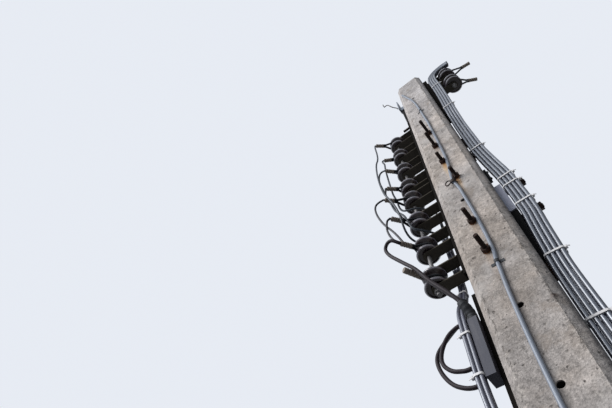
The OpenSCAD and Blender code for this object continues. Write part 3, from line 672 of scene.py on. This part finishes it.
def glaze(name, rack_drop, arm_reach, spool_r):
    """Dark brown glaze for the spools of one rack, with pale lines along the rims' edges as a painted highlight."""
    mat, tree, shader = new_finish(name, 0.3)
    shader.inputs["Coat Weight"].default_value = 1.0
    shader.inputs["Coat Roughness"].default_value = 0.1
    mottle = use(tree, mottle_group, Cloud_Scale=20.0, Grain_Scale=260.0, Cloud_Amount=0.5, Grain_Amount=0.25)
    colour = toned(tree, (0.034, 0.023, 0.027), mottle.outputs["Tone"])
    dust = use(tree, streak_group, Width=40.0, Amount=0.5)
    colour = mix_colour(tree, dust.outputs[0], colour, (0.095, 0.076, 0.078))

    # Distance from the pin, and level above or below the nearest spool's middle
    x, y, up = place_parts(tree)
    across = untapered(tree, math_node(tree, "ABSOLUTE", x), up)
    off_pin = math_node(tree, "SUBTRACT", across, FOOT_HALF + arm_reach * MM)
    squares = math_node(tree, "ADD", product(tree, off_pin, off_pin), product(tree, y, y))
    radius = math_node(tree, "SQRT", squares)
    pitch = SPOOL_PITCH * MM
    first = (drop(rack_drop) + arm_reach * LEAN) * MM
    below = math_node(tree, "SUBTRACT", first + pitch / 2, up)
    turn = math_node(tree, "FRACT", math_node(tree, "DIVIDE", below, pitch))
    level = product(tree, gap(tree, turn, 0.5), pitch)
    edges = [ramp(tree, gap(tree, level, edge * MM), 0.0022, 0.0011) for edge in RIM_EDGES]
    rim = spool_r * MM
    # Painted highlight: pale lines along both edges of each rim, where the glaze would catch the sky
    wear_and_highlight = product(
        tree, math_node(tree, "MAXIMUM", *edges), ramp(tree, radius, rim - 0.004, rim - 0.001),
        ramp(tree, noise(tree, object_coord(tree), 60.0, 3, 0.6), 0.3, 0.6, 0.45, 0.95),
    )
    colour = mix_colour(tree, wear_and_highlight, colour, (0.27, 0.26, 0.32))
    tree.links.new(colour, shader.inputs["Base Color"])
    tree.links.new(ramp(tree, mottle.outputs["Tone"], 0.8, 1.2, 0.18, 0.38), shader.inputs["Roughness"])
    bump(tree, shader, mottle.outputs["Height"], 0.18, 0.0008)
    return mat


def sheath(name, base, rough, dirt, dirt_colour=(0.16, 0.14, 0.13), shine=0.5, coat=0.0, ior=1.5):
    """Plastic, rubber or paint with streaks of dirt. shine, coat and ior set how much of the sky it shows."""
    mat, tree, shader = new_finish(name, rough)
    shader.inputs["Specular IOR Level"].default_value = shine
    shader.inputs["IOR"].default_value = ior
    shader.inputs["Specular Tint"].default_value = (0.84, 0.91, 1.0, 1)
    shader.inputs["Coat Weight"].default_value = coat
    shader.inputs["Coat Roughness"].default_value = 0.16
    mottle = use(tree, mottle_group, Cloud_Scale=12.0, Grain_Scale=95.0, Cloud_Amount=0.28, Grain_Amount=0.1)
    colour = toned(tree, base, mottle.outputs["Tone"])
    grime_and_shade = use(tree, streak_group, Width=90.0, Amount=dirt)
    colour = mix_colour(tree, grime_and_shade.outputs[0], colour, dirt_colour)
    tree.links.new(colour, shader.inputs["Base Color"])
    uneven = ramp(tree, mottle.outputs["Tone"], 0.85, 1.15, rough - 0.06, rough + 0.12)
    tree.links.new(uneven, shader.inputs["Roughness"])
    bump(tree, shader, mottle.outputs["Height"], 0.03, 0.0003)
    return mat


place_camera()
pale_floor()
studio_light()

# One finish for each of the record's slots, then those of single pieces
FINISH = {
    "concrete": concrete(),
    "bolt_steel": rusty_steel("bolt_nuts_rust", (0.028, 0.014, 0.011), 0.46, 90.0, 0.7, 0.0),
    # The rack's last colour is its channel's painted shade, with some dirt
    "rack_steel": rusty_steel("rack_steel", (0.066, 0.059, 0.050), 0.3, 40.0, 0.7, 0.0, (0.012, 0.0105, 0.0095)),
    "pin_steel": rusty_steel("pin_steel", (0.24, 0.235, 0.24), 0.36, 70.0, 0.45, 0.6),
    "spool_glaze": glaze("upper_spool_glaze", LEFT_RACK_DROPS[0], ARM_REACH, SPOOL_R),
    "black_cable": sheath("black_sheath", (0.011, 0.012, 0.015), 0.5, 0.3, (0.04, 0.036, 0.036), 0.22),
    "clamp_metal": rusty_steel("clamp_bronze", (0.22, 0.19, 0.165), 0.28, 110.0, 0.5, 0.3),
    "conduit_grey": sheath("conduit_sheath", (0.225, 0.255, 0.312), 0.36, 0.35, shine=0.7),
    "clip_black": sheath("clip_black", (0.018, 0.018, 0.02), 0.55, 0.25, (0.07, 0.065, 0.06)),
    "grey_cable": sheath("riser_sheath", (0.034, 0.036, 0.055), 0.27, 0.3, (0.028, 0.025, 0.03), 1.0, 0.5, 1.9),
    "tie_white": sheath("tie_white", (0.76, 0.755, 0.77), 0.42, 0.2),
    "light_grey_box": sheath("box_paint", (0.052, 0.052, 0.07), 0.5, 0.6, (0.12, 0.115, 0.128), 0.35),
    "galvanised": rusty_steel("dull_zinc", (0.20, 0.23, 0.28), 0.28, 60.0, 0.45, 0.5),
}
LOWER_GLAZE = glaze("lower_spool_glaze", LEFT_RACK_DROPS[1], ARM_REACH, SPOOL_R)
RIGHT_GLAZE = glaze("right_spool_glaze", RIGHT_RACK_DROP, RIGHT_ARM_REACH, RIGHT_SPOOL_R)
BOLT_RUST = rusty_steel("bolt_rods_rust", (0.022, 0.013, 0.011), 0.4, 120.0, 0.7, 0.0)
WASHER_RUST = rusty_steel("washer_rust", (0.27, 0.115, 0.04), 0.3, 160.0, 0.8, 0.0)
WIRE_STEEL = rusty_steel("tie_wire_steel", (0.045, 0.034, 0.032), 0.36, 130.0, 0.5, 0.4)
# The back row's sheath: a darker, duller copy of the riser sheath, as painted shade
SHADED_BACK_SHEATH = sheath("riser_sheath_back_shaded", (0.032, 0.033, 0.042), 0.45, 0.5, (0.03, 0.027, 0.027))
# Black paint for the bracket and gusset behind the bundle, darkened further to near black as painted shade
BRACKET_BLACK_AND_SHADE = sheath("bracket_black_and_shade", (0.006, 0.0056, 0.006), 0.75, 0.3, (0.018, 0.014, 0.012), 0.12)
SPACER_PAINT = sheath("spacer_paint", (0.40, 0.42, 0.53), 0.5, 0.3, (0.26, 0.26, 0.31))
SLEEVE_RUBBER = sheath("sleeve_rubber", (0.011, 0.011, 0.012), 0.62, 0.25, (0.04, 0.037, 0.035))
LEFT_GREY = sheath("left_riser_sheath", (0.092, 0.094, 0.128), 0.36, 0.35, (0.05, 0.045, 0.05), 0.8, 0.15, 1.7)
UPPER_JUMPER = sheath("upper_jumper_sheath", (0.034, 0.040, 0.050), 0.4, 0.35, (0.045, 0.042, 0.044), 0.5)
JUMPER_SHEATH = sheath("jumper_sheath", (0.024, 0.021, 0.025), 0.42, 0.35, (0.05, 0.042, 0.044), 0.4)
THICK_SHEATH = sheath("thick_sheath", (0.022, 0.014, 0.017), 0.5, 0.35, (0.05, 0.036, 0.038), 0.22)
CUT_END = sheath("cut_cable_ends", (0.05, 0.042, 0.038), 0.6, 0.2)


# Ground conduit, riser cables and jumpers: routes as in the part

BESIDE_NUT = BOLT_X + NUT_FLATS / 2 + CONDUIT_D / 2 + 2 * SEAT
BEFORE_NUT = FOURTH_BOLT_X - NUT_FLATS / 2 - CONDUIT_D / 2 - 2 * SEAT
CONDUIT_RUN = (
    (214, -61), (246, -55), (319, -42), (437, -19), (555, -8), (642, -3), (764, 0), (868, 3), (959, BESIDE_NUT),
    (1079, BESIDE_NUT), (1496, BESIDE_NUT), (1641, BEFORE_NUT), (1686, BEFORE_NUT), (1763, -1), (1809, 0),
    (1984, BESIDE_NUT), (2198, BESIDE_NUT), (2241, -1), (2265, -1), (2367, -8), (2476, -12), (2600, -15), (2740, -15),
    (3500, -14), (4500, -13), (5500, -15), (6450, -15), (6500, -15),
)
RIGHT_STEP = RISER_D + RISER_GAP
BUNDLE_HALF = 2 * RIGHT_STEP
BUNDLE_Y = -(NUT_FLATS / 2 + 2 * SEAT + RIGHT_STEP)
ARM_CLEAR = 7
ARM_Y = -(STRAP_W / 2 + ARM_CLEAR + RIGHT_STEP)
BESIDE = WASHER_T + BUNDLE_HALF + 2 * SEAT
OFF_SPACER = SPACER_DEPTH + TIE_T + BUNDLE_HALF + 4 * SEAT
RIGHT_RUN = (
    (56, ARM_Y, 320), (56, ARM_Y, 400), (52, ARM_Y, 583), (46, ARM_Y, 740), (42, ARM_Y, 850), (37, BUNDLE_Y, 980),
    (BESIDE, BUNDLE_Y, 1106), (BESIDE, BUNDLE_Y, 1386), (35, BUNDLE_Y, 1440), (44, BUNDLE_Y, 1590),
    (OFF_SPACER, BUNDLE_Y, 1749), (OFF_SPACER, BUNDLE_Y, 2000), (47, BUNDLE_Y, 2110), (38, BUNDLE_Y, 2248),
    (BESIDE, BUNDLE_Y, 2310), (32, BUNDLE_Y, 2420), (32, BUNDLE_Y, 2700), (BESIDE, BUNDLE_Y, 2900),
    (BESIDE, BUNDLE_Y, 4200), (BESIDE, BUNDLE_Y, 5600), (BESIDE, BUNDLE_Y, 6500),
)
RIGHT_LINE = [off_right(p) for p in RIGHT_RUN]
BEND_LINE = ((78, 215), (82, 165), (89, 123), (112, 94), (140, 83), (168, 82), (196, 88))
BEND_OUT = ((-1, 0), (-0.99, 0.14), (-0.88, 0.47), (-0.5, 0.87), (-0.12, 0.99), (0.1, 1), (0.2, 0.98))
LEFT_STEP = LEFT_RISER_D + 2 * RISER_GAP
BOX_OUT = BRACKET_DEPTH + BOX_W + 5 * SEAT + TIE_T + LEFT_STEP
LANES_OUT, LANES_Y, LANES_TOP = 62, 39, 1760
LEFT_RUN = (
    (LANES_OUT, LANES_Y, LANES_TOP), (61, 39, 2010), (62, 37, 2070), (62, 37, 2120), (66, 12, 2200),
    (BOX_OUT, -28, 2275), (BOX_OUT, -44, 2341), (BOX_OUT, -44, 2432), (BOX_OUT, -44, 2570), (63, -36, 2697),
    (60, -31, 2850), (58, -31, 3600), (58, -31, 4300), (58, -31, 5500), (58, -31, 6500),
)
LEFT_LINE = [off_left(p) for p in LEFT_RUN]

# Each line's angle away from its rack, and its clamp's middle and length along it
LINE_ANGLES = (38, 30, 44, 40, 43, 50, 55, 62)
CLAMP_MIDS = (108, 76, 82, 90, 110, 101, 84, 89)
CLAMP_LENS = (44, 40, 44, 44, 44, 44, 44, 70)
RIGHT_LINE_ANGLES = (6, 28)
RIGHT_CLAMP_MIDS = (138, 122)
RIGHT_CLAMP_LEN = 52

# Each jumper's line, its route, and its lane in the left riser. The two without a lane end at the seventh clamp
JUMPERS = (
    (1, ((240, -82, 765), (232, -86, 850), (231, -86, 952), (246, -90, 1009), (247, -92, 1145), (239, -94, 1278),
         (222, -98, 1412), (206, -101, 1470), (181, -94, 1569), (172, -80, 1654), (178, -60, 1712), (180, -25, 1740),
         (168, 12, 1748), (140, 38, 1750), (100, 48, 1752)), (0.5, 0.5)),
    (2, ((224, -53, 930), (220, -52, 950), (213, -51, 980), (215, -51, 1025), (212, -51, 1135), (208, -46, 1256),
         (206, -41, 1318), (204, -38, 1356), (196, -33, 1401), (190, -31, 1500), (170, -33, 1542), (142, -28, 1550),
         (112, -16, 1553), (84, 12, 1560), (62, 28, 1585)), (-0.5, -0.5)),
    (3, ((228, -72, 1100), (242, -78, 1130), (249, -78, 1210), (236, -74, 1308), (226, -64, 1394), (216, -56, 1440),
         (212, -56, 1482), (200, -59, 1550), (176, -60, 1600), (161, -62, 1640), (156, -59, 1680), (148, -44, 1735),
         (124, -28, 1745), (98, 0, 1750), (82, 22, 1752)), (0.5, -0.5)),
    (4, ((222, -74, 1335), (232, -66, 1352), (228, -50, 1400), (216, -22, 1460), (206, 2, 1510), (182, 25, 1550),
         (130, 44, 1560), (80, 52, 1575)), (-0.5, 0.5)),
    (5, ((238, -96, 1456), (255, -98, 1458), (273, -98, 1466), (279, -98, 1501), (273, -97, 1559), (258, -95, 1625),
         (240, -92, 1682), (214, -88, 1744), (196, -82, 1800), (186, -76, 1838)), None),
    (6, ((214, -100, 1660), (224, -104, 1668), (232, -98, 1685), (237, -94, 1715), (232, -92, 1757),
         (222, -90, 1796), (208, -84, 1826)), None),
)
THICK_CABLE = (
    (215, -108, 1836), (236, -104, 1826), (252, -98, 1838), (256, -94, 1858), (242, -92, 1900), (213, -92, 1953),
    (185, -93, 2004), (156, -95, 2056), (133, -90, 2110), (115, -84, 2154), (85, -76, 2207), (62, -66, 2252),
    (54, -60, 2269), (54, -60, 2278.6),
)
SIDE_CABLE = (
    (156, -54, 2068), (154, -55, 2078), (141, -60, 2098), (124, -60, 2130), (104, -56, 2169), (75, -48, 2225),
    (44, -50, 2263), (44, -50, 2278.6),
)
SLEEVE = (
    (49, -57, 2279), (49, -57, 2285), (44, -51, 2297), (40.4, -39, 2313), (40.4, -34, 2328), (40.4, -34, 2339.6),
)
DRIP_LOOPS = (
    ((0, -50, 2350), (10, -50, 2350), (38, -51, 2364), (66, -52, 2405), (75, -52, 2449), (53, -50, 2485),
     (22, -50, 2500), (10, -50, 2503), (0, -50, 2503)),
    ((0, -37, 2334), (10, -37, 2334), (55, -38, 2366), (92, -38, 2401), (90, -38, 2456), (66, -38, 2512),
     (34, -38, 2540), (10, -38, 2549), (0, -38, 2549)),
)


def clamp_end(n, past):
    """A point past the end of the clamp on a left line, counted from 1."""
    z = drop(LEFT_RACK_DROPS[(n - 1) // RACK_SPOOLS])
    w = -((n - 1) % RACK_SPOOLS) * SPOOL_PITCH
    a = math.radians(LINE_ANGLES[n - 1])
    r = CLAMP_MIDS[n - 1] + CLAMP_LENS[n - 1] / 2 + SEAT + past
    u = ARM_REACH + r * math.cos(a)
    return Vector((
        -half_width(z) - u * math.cos(TILT) + w * math.sin(TILT), -r * math.sin(a),
        z + u * math.sin(TILT) + w * math.cos(TILT),
    ))


def conduit():
    """The ground wire's conduit down the front face, past the nuts."""
    shape = Shape("ground_conduit_tube")
    line = [Vector((x, -half_width(drop(d)) - SEAT - CONDUIT_D / 2, drop(d))) for d, x in CONDUIT_RUN]
    add_tube(shape, soften(line), CONDUIT_D, 16, 0, 1)
    return shape.make([FINISH["conduit_grey"], CUT_END], "conduit_grey"), ("ground_conduit",)


def right_risers():
    """Eight cables in two rows up the right face, bent over the shaft's top edge."""
    shape = Shape("right_riser_cables")
    base = half_width(drop(BEND_LINE[0][1]))
    for row in (-0.5, 0.5):
        for col in range(4):
            shift = Vector(((col - 1.5) * RIGHT_STEP, row * RIGHT_STEP, 0))
            out = (3 - col) * (RIGHT_STEP + SEAT)
            path = [p + shift for p in reversed(RIGHT_LINE)]
            path += [
                Vector((base + d + out * u, ARM_Y + shift.y, drop(z) + out * v))
                for (d, z), (u, v) in zip(BEND_LINE, BEND_OUT)
            ]
            # The back row takes the darker copy of the sheath, as painted shade
            add_tube(shape, soften(path), RISER_D, 14, 0 if row < 0 else 1, 2)
    piece = shape.make([FINISH["grey_cable"], SHADED_BACK_SHEATH, CUT_END], "grey_cable")
    return piece, ("right_riser_front", "right_riser_back")


def beside(line, dx, dy):
    """One cable's line in a bundle, dx and dy across from the bundle's own line."""
    moved = []
    for i, point in enumerate(line):
        run = (line[min(i + 1, len(line) - 1)] - line[max(i - 1, 0)]).normalized()
        w = (Vector((0, 1, 0)) - run.y * run).normalized()
        moved.append(point + dx * w.cross(run) * (1 if run.z > 0 else -1) + dy * w)
    return moved


def left_risers():
    """Four cables down the left side, from behind the lower rack and past the box."""
    shape = Shape("left_riser_cables")
    for sx in (-0.5, 0.5):
        for sy in (-0.5, 0.5):
            add_tube(shape, soften(beside(LEFT_LINE, sx * LEFT_STEP, sy * LEFT_STEP)), LEFT_RISER_D, 14, 0, 1)
    return shape.make([LEFT_GREY, CUT_END], "grey_cable"), ("left_riser",)


def jumpers():
    """Cables from the clamps: four to the left riser, two to the seventh clamp, and two into the box's sleeve."""
    shape = Shape("left_jumper_cables")
    for n, route, lane in JUMPERS:
        path = [clamp_end(n, SEAT), clamp_end(n, 7)] + [off_left(p) for p in route]
        if lane:
            u, v = LANES_OUT + lane[0] * LEFT_STEP, LANES_Y + lane[1] * LEFT_STEP
            turned_down = LANES_TOP - (4 if n % 2 else 150)
            path += [off_left((u, v, turned_down)), off_left((u, v, LANES_TOP - SEAT))]
        add_tube(shape, soften(path), JUMPER_D, 12, 2 if n < 4 else 0)
    thick = [clamp_end(7, SEAT), clamp_end(7, 8)] + [off_left(p) for p in THICK_CABLE]
    add_tube(shape, soften(thick), THICK_D, 14, 1)
    add_tube(shape, soften([off_left(p) for p in SIDE_CABLE]), JUMPER_D, 12, 1)
    return shape.make([JUMPER_SHEATH, THICK_SHEATH, UPPER_JUMPER], "black_cable"), ("left_jumpers",)


def box_sleeve():
    """The ribbed rubber sleeve where two cables enter the box."""
    def ribs(t):
        return 0.975 + 0.025 * math.cos(t * 2 * math.pi * 7)

    shape = Shape("box_entry_sleeve")
    add_tube(shape, soften([off_left(p) for p in SLEEVE], 3), SLEEVE_D, 20, swell=ribs)
    return shape.make([SLEEVE_RUBBER], "black_cable"), ("jumper_sleeve",)


def drip_loops():
    """Two slack loops that hang out beside the box."""
    shape = Shape("drip_loop_cables")
    root = BOX_OUT + LEFT_STEP / 2 + LEFT_RISER_D / 2 + SEAT
    for route in DRIP_LOOPS:
        line = [off_left((root + out, y, d)) for out, y, d in route]
        add_tube(shape, soften(line, 3), SLACK_LOOP_D, 16)
    return shape.make([THICK_SHEATH], "black_cable"), ("drip_loops",)


def line_places():
    """For each line: its spool's axis turned along the line, and the clamp's middle and length."""
    for n in range(2 * RACK_SPOOLS):
        rack = on_face(180, drop(LEFT_RACK_DROPS[n // RACK_SPOOLS]))
        spool = Matrix.Translation((ARM_REACH, 0, -(n % RACK_SPOOLS) * SPOOL_PITCH))
        turn = Matrix.Rotation(math.radians(LINE_ANGLES[n]), 4, "Z")
        yield rack @ spool @ turn, CLAMP_MIDS[n], CLAMP_LENS[n]
    rack = on_face(0, drop(RIGHT_RACK_DROP))
    for i, (angle, mid) in enumerate(zip(RIGHT_LINE_ANGLES, RIGHT_CLAMP_MIDS)):
        spool = Matrix.Translation((RIGHT_ARM_REACH, 0, -i * SPOOL_PITCH))
        turn = Matrix.Rotation(math.radians(angle), 4, "Z")
        yield rack @ spool @ turn, mid, RIGHT_CLAMP_LEN


def clamp_profile(length):
    """A clamp's sleeve with three crimped grooves, as (radius, height)."""
    half, cut = CLAMP_D / 2, 1.5
    profile = [(half - 2, 0), (half, 2)]
    for share in (0.28, 0.5, 0.72):
        at = length * share
        profile += [(half, at - 2.4), (half - cut, at - 1.2), (half - cut, at + 1.2), (half, at + 2.4)]
    return profile + [(half, length - 2), (half - 2, length)]


def line_loops():
    """Each line's eye round its spool, and the ribbed clamp that closes it."""
    loops, clamps = Shape("line_eye_cables"), Shape("line_clamp_sleeves")
    r = GROOVE_R + LINE_D / 2 + SEAT
    leg = LINE_D / 2 + SEAT
    lead = 14
    angles = [math.radians(60 + 240 * k / 30) for k in range(31)]
    arc = [Vector((r * math.cos(a), r * math.sin(a), 0)) for a in angles]
    for place, mid, length in line_places():
        reach = mid - length / 2
        path = [Vector((reach, leg, 0)), Vector((reach - lead, leg, 0))]
        path += arc + [Vector((reach - lead, -leg, 0)), Vector((reach, -leg, 0))]
        add_tube(loops, [place @ p for p in path], LINE_D, 12)
        along = place @ Matrix.Translation((reach + SEAT, 0, 0)) @ Matrix.Rotation(math.pi / 2, 4, "Y")
        add_lathe(clamps, along, clamp_profile(length), 20)
    return (
        (loops.make([FINISH["black_cable"]], "black_cable"), ("left_line_loops", "right_line_loops")),
        (clamps.make([FINISH["clamp_metal"]], "clamp_metal"), ("left_line_clamps", "right_line_clamps")),
    )


def place_across(line, z):
    """A place on a line at a height, square to the line there."""
    def at(height):
        for a, b in zip(line, line[1:]):
            if b.z <= height <= a.z:
                return a.lerp(b, (a.z - height) / (a.z - b.z))
        return line[-1]

    lean = (at(z + 6) - at(z - 6)).normalized()
    return Matrix.Translation(at(z)) @ Vector((0, 0, 1)).rotation_difference(lean).to_matrix().to_4x4()


def tie_band(shape, place, w, depth, side):
    """A cable tie pulled round a bundle, with its head and cut tail on the right (1) or on the left (-1)."""
    thick, tall, r = 1.9, 7.0, 6.5
    rings = []
    for grow in (0.15, thick):
        hw, hd, rr = w / 2 + grow, depth / 2 + grow, r + grow
        rings.append([
            (sx * (hw - rr) + rr * math.cos(a), sy * (hd - rr) + rr * math.sin(a))
            for sx, sy, start in ((1, 1, 0), (-1, 1, 90), (-1, -1, 180), (1, -1, 270))
            for a in (math.radians(start + k * 22.5) for k in range(5))
        ])
    inner, outer = rings
    n = len(inner)
    verts = [place @ Vector((*p, h)) for h in (-tall / 2, tall / 2) for ring in (inner, outer) for p in ring]
    faces = []
    for k in range(n):
        m = (k + 1) % n
        faces += [(k, m, n + m, n + k), (2 * n + k, 3 * n + k, 3 * n + m, 2 * n + m),
                  (n + k, n + m, 3 * n + m, 3 * n + k), (k, 2 * n + k, 2 * n + m, m)]
    shape.add(verts, faces, 0, True)
    head = place @ Matrix.Translation((side * (w / 2 + thick + 2.6), -depth / 4, 0))
    tail = place @ Matrix.Translation((side * (w / 2 + thick + 8.5), -depth / 4 - 1.5, 0))
    add_block(shape, head, (6.5, 9.5, 9.5), 1.2)
    add_block(shape, tail @ Matrix.Rotation(side * 0.35, 4, "Z"), (9, 1.6, 5), 0.4)


def cable_ties():
    """White ties round both bundles of cables."""
    shape = Shape("cable_tie_bands")
    for d in RIGHT_TIE_DROPS:
        tie_band(shape, place_across(RIGHT_LINE, drop(d)), 4 * RIGHT_STEP, 2 * RIGHT_STEP, 1)
    for d in LEFT_TIE_DROPS:
        tie_band(shape, place_across(LEFT_LINE, drop(d)), 2 * LEFT_STEP, 2 * LEFT_STEP, -1)
    return shape.make([FINISH["tie_white"]], "tie_white"), ("right_ties", "left_ties")


def thread(low, high):
    """The profile of a bolt's cut thread between two heights."""
    r, pitch, depth = BOLT_D / 2, 2.6, 1.1
    profile, h = [], low
    while h + pitch < high:
        profile += [(r, h + pitch * 0.3), (r - depth, h + pitch * 0.65), (r, h + pitch)]
        h += pitch
    return profile


def threaded_bolt(shape, place, length, head, thread_low, thread_high):
    """A bolt along its own Z, with cut thread over a length at each end."""
    if head:
        add_hex(shape, place, [(NUT_CORNERS_R - 1.6, -head), (NUT_CORNERS_R, -head + 1.4), (NUT_CORNERS_R, 0)])
    r, tip = BOLT_D / 2, 1.4
    stop = length - thread_high
    profile = [(r - 1.6, 0), (r, tip)] + thread(tip, thread_low)
    profile += [(r, stop)] + thread(stop, length - tip)
    profile += [(r, length - tip), (r - 1.6, length)]
    add_lathe(shape, place, profile, 14)


def front_bolt_rods():
    """Six bolts from the back face through the front, with long free threads."""
    shape = Shape("front_bolt_rods")
    for d, x, free in FRONT_BOLTS:
        z = drop(d)
        back = half_width(z) + 2 * SEAT + WASHER_T
        front = half_width(z) + 2 * SEAT + RING_T + NUT_T + free
        place = Matrix.Translation((x, back, z)) @ Matrix.Rotation(math.pi / 2, 4, "X")
        threaded_bolt(shape, place, back + front, HEAD_T, 0, free + RING_T + NUT_T)
    return shape.make([BOLT_RUST], "bolt_steel"), ("front_bolts",)


def side_bolt_rods():
    """Twelve bolts across the shaft. The two longest, beside the bundle, have an outer nut too."""
    shape = Shape("side_bolt_rods")
    for d, left, right in SIDE_BOLTS:
        z = drop(d)
        w = half_width(z)
        place = Matrix.Translation((-w - left, 0, z)) @ Matrix.Rotation(math.pi / 2, 4, "Y")
        threaded_bolt(shape, place, 2 * w + left + right, 0, left, right)
        if right > 95:
            nut = Matrix.Translation((w + right - 15, 0, z)) @ Matrix.Rotation(math.pi / 2, 4, "Y")
            rim = NUT_CORNERS_R
            add_hex(shape, nut, [(rim - 1.5, 0), (rim, 1.5), (rim, 11), (rim - 1.5, 12.5)])
    return shape.make([BOLT_RUST], "bolt_steel"), ("side_bolts",)


def tied_wire():
    """The dark wire that ties the conduit to the fourth bolt, with its loop hanging out to the left."""
    shape = Shape("conduit_tie_wire")
    z = drop(1690)
    y = -half_width(z)
    conduit_x = BEFORE_NUT + 1.5
    turns = []
    for k in range(46):
        a = 2 * math.pi * k / 15
        turns.append(Vector((conduit_x + 9.2 * math.cos(a), y - 9.6 + 8.9 * math.sin(a), z + 2 - k * 0.32)))
    add_tube(shape, turns, 4, 8)
    loop = ((-9, -12, 4), (-18, -20, 2), (-27, -22, -8), (-32, -20, -20), (-28, -18, -28), (-20, -17, -26),
            (-12, -16, -17), (-5, -18.5, -14), (4, -19, -18), (9, -14, -22))
    add_tube(shape, soften([Vector((conduit_x + dx, y + dy, z + dz)) for dx, dy, dz in loop]), 5, 10)
    to_bolt = ((conduit_x + 6, -18, -6), (conduit_x + 16, -19, 4), (FOURTH_BOLT_X - 4, -26, 15),
               (FOURTH_BOLT_X + 1, -31, 20), (FOURTH_BOLT_X + 9, -29, 26))
    add_tube(shape, soften([Vector((x, y + dy, z + dz)) for x, dy, dz in to_bolt]), 4, 8)
    return shape.make([WIRE_STEEL], "bolt_steel"), ()


def hook_wire():
    """A bent end of wire held behind the top of the galvanised plate."""
    shape = Shape("plate_hook_wire")
    line = [(-134, -47.5, 6250), (-137, -51, 6272), (-146, -62, 6262), (-162, -82, 6268), (-176, -90, 6318),
            (-186, -90, 6340), (-197, -94, 6322), (-202, -99, 6300), (-207, -96, 6345), (-211, -92, 6400)]
    add_tube(shape, soften([Vector(p) for p in line]), 6, 10)
    return shape.make([WIRE_STEEL], "bolt_steel"), ()


def edge_clip():
    """The small black clip at the back edge of the right face, with its two screws."""
    shape = Shape("edge_clip")
    place = on_face(0, drop(CLIP_DROP))
    back = 55
    add_block(shape, place @ Matrix.Translation((5.2, back, 0)), (10, 26, 92), 1.5)
    add_block(shape, place @ Matrix.Translation((11.5, back, 0)), (3, 12, 70), 0.8)
    for s in (-32, 32):
        screw = place @ Matrix.Translation((13, back, s)) @ Matrix.Rotation(math.pi / 2, 4, "Y")
        add_lathe(shape, screw, [(5, 0), (5.2, 1.4), (3.5, 3.2)], 12)
    return shape.make([FINISH["clip_black"]], "clip_black"), ()


for part in frame["record"]["subparts"]:
    mesh = nodes[part["node"]].data
    mesh.materials.clear()
    mesh.materials.append(FINISH[part["material_slot"]])
nodes["front_washers"].data.materials[0] = WASHER_RUST
nodes["cable_spacer"].data.materials[0] = SPACER_PAINT
# The gusset and the bracket behind the bundle take the near-black paint, which is partly painted shade
for name in ("top_gusset", "spacer_bracket"):
    nodes[name].data.materials[0] = BRACKET_BLACK_AND_SHADE
for name in ("spool_5", "spool_6", "spool_7", "spool_8"):
    nodes[name].data.materials[0] = LOWER_GLAZE
for name in ("right_spool_1", "right_spool_2"):
    nodes[name].data.materials[0] = RIGHT_GLAZE

for piece, replaced in (
    conduit(), right_risers(), left_risers(), jumpers(), box_sleeve(), drip_loops(), *line_loops(),
    cable_ties(), front_bolt_rods(), side_bolt_rods(), tied_wire(), hook_wire(), edge_clip(),
):
    if replaced:
        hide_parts(*replaced)
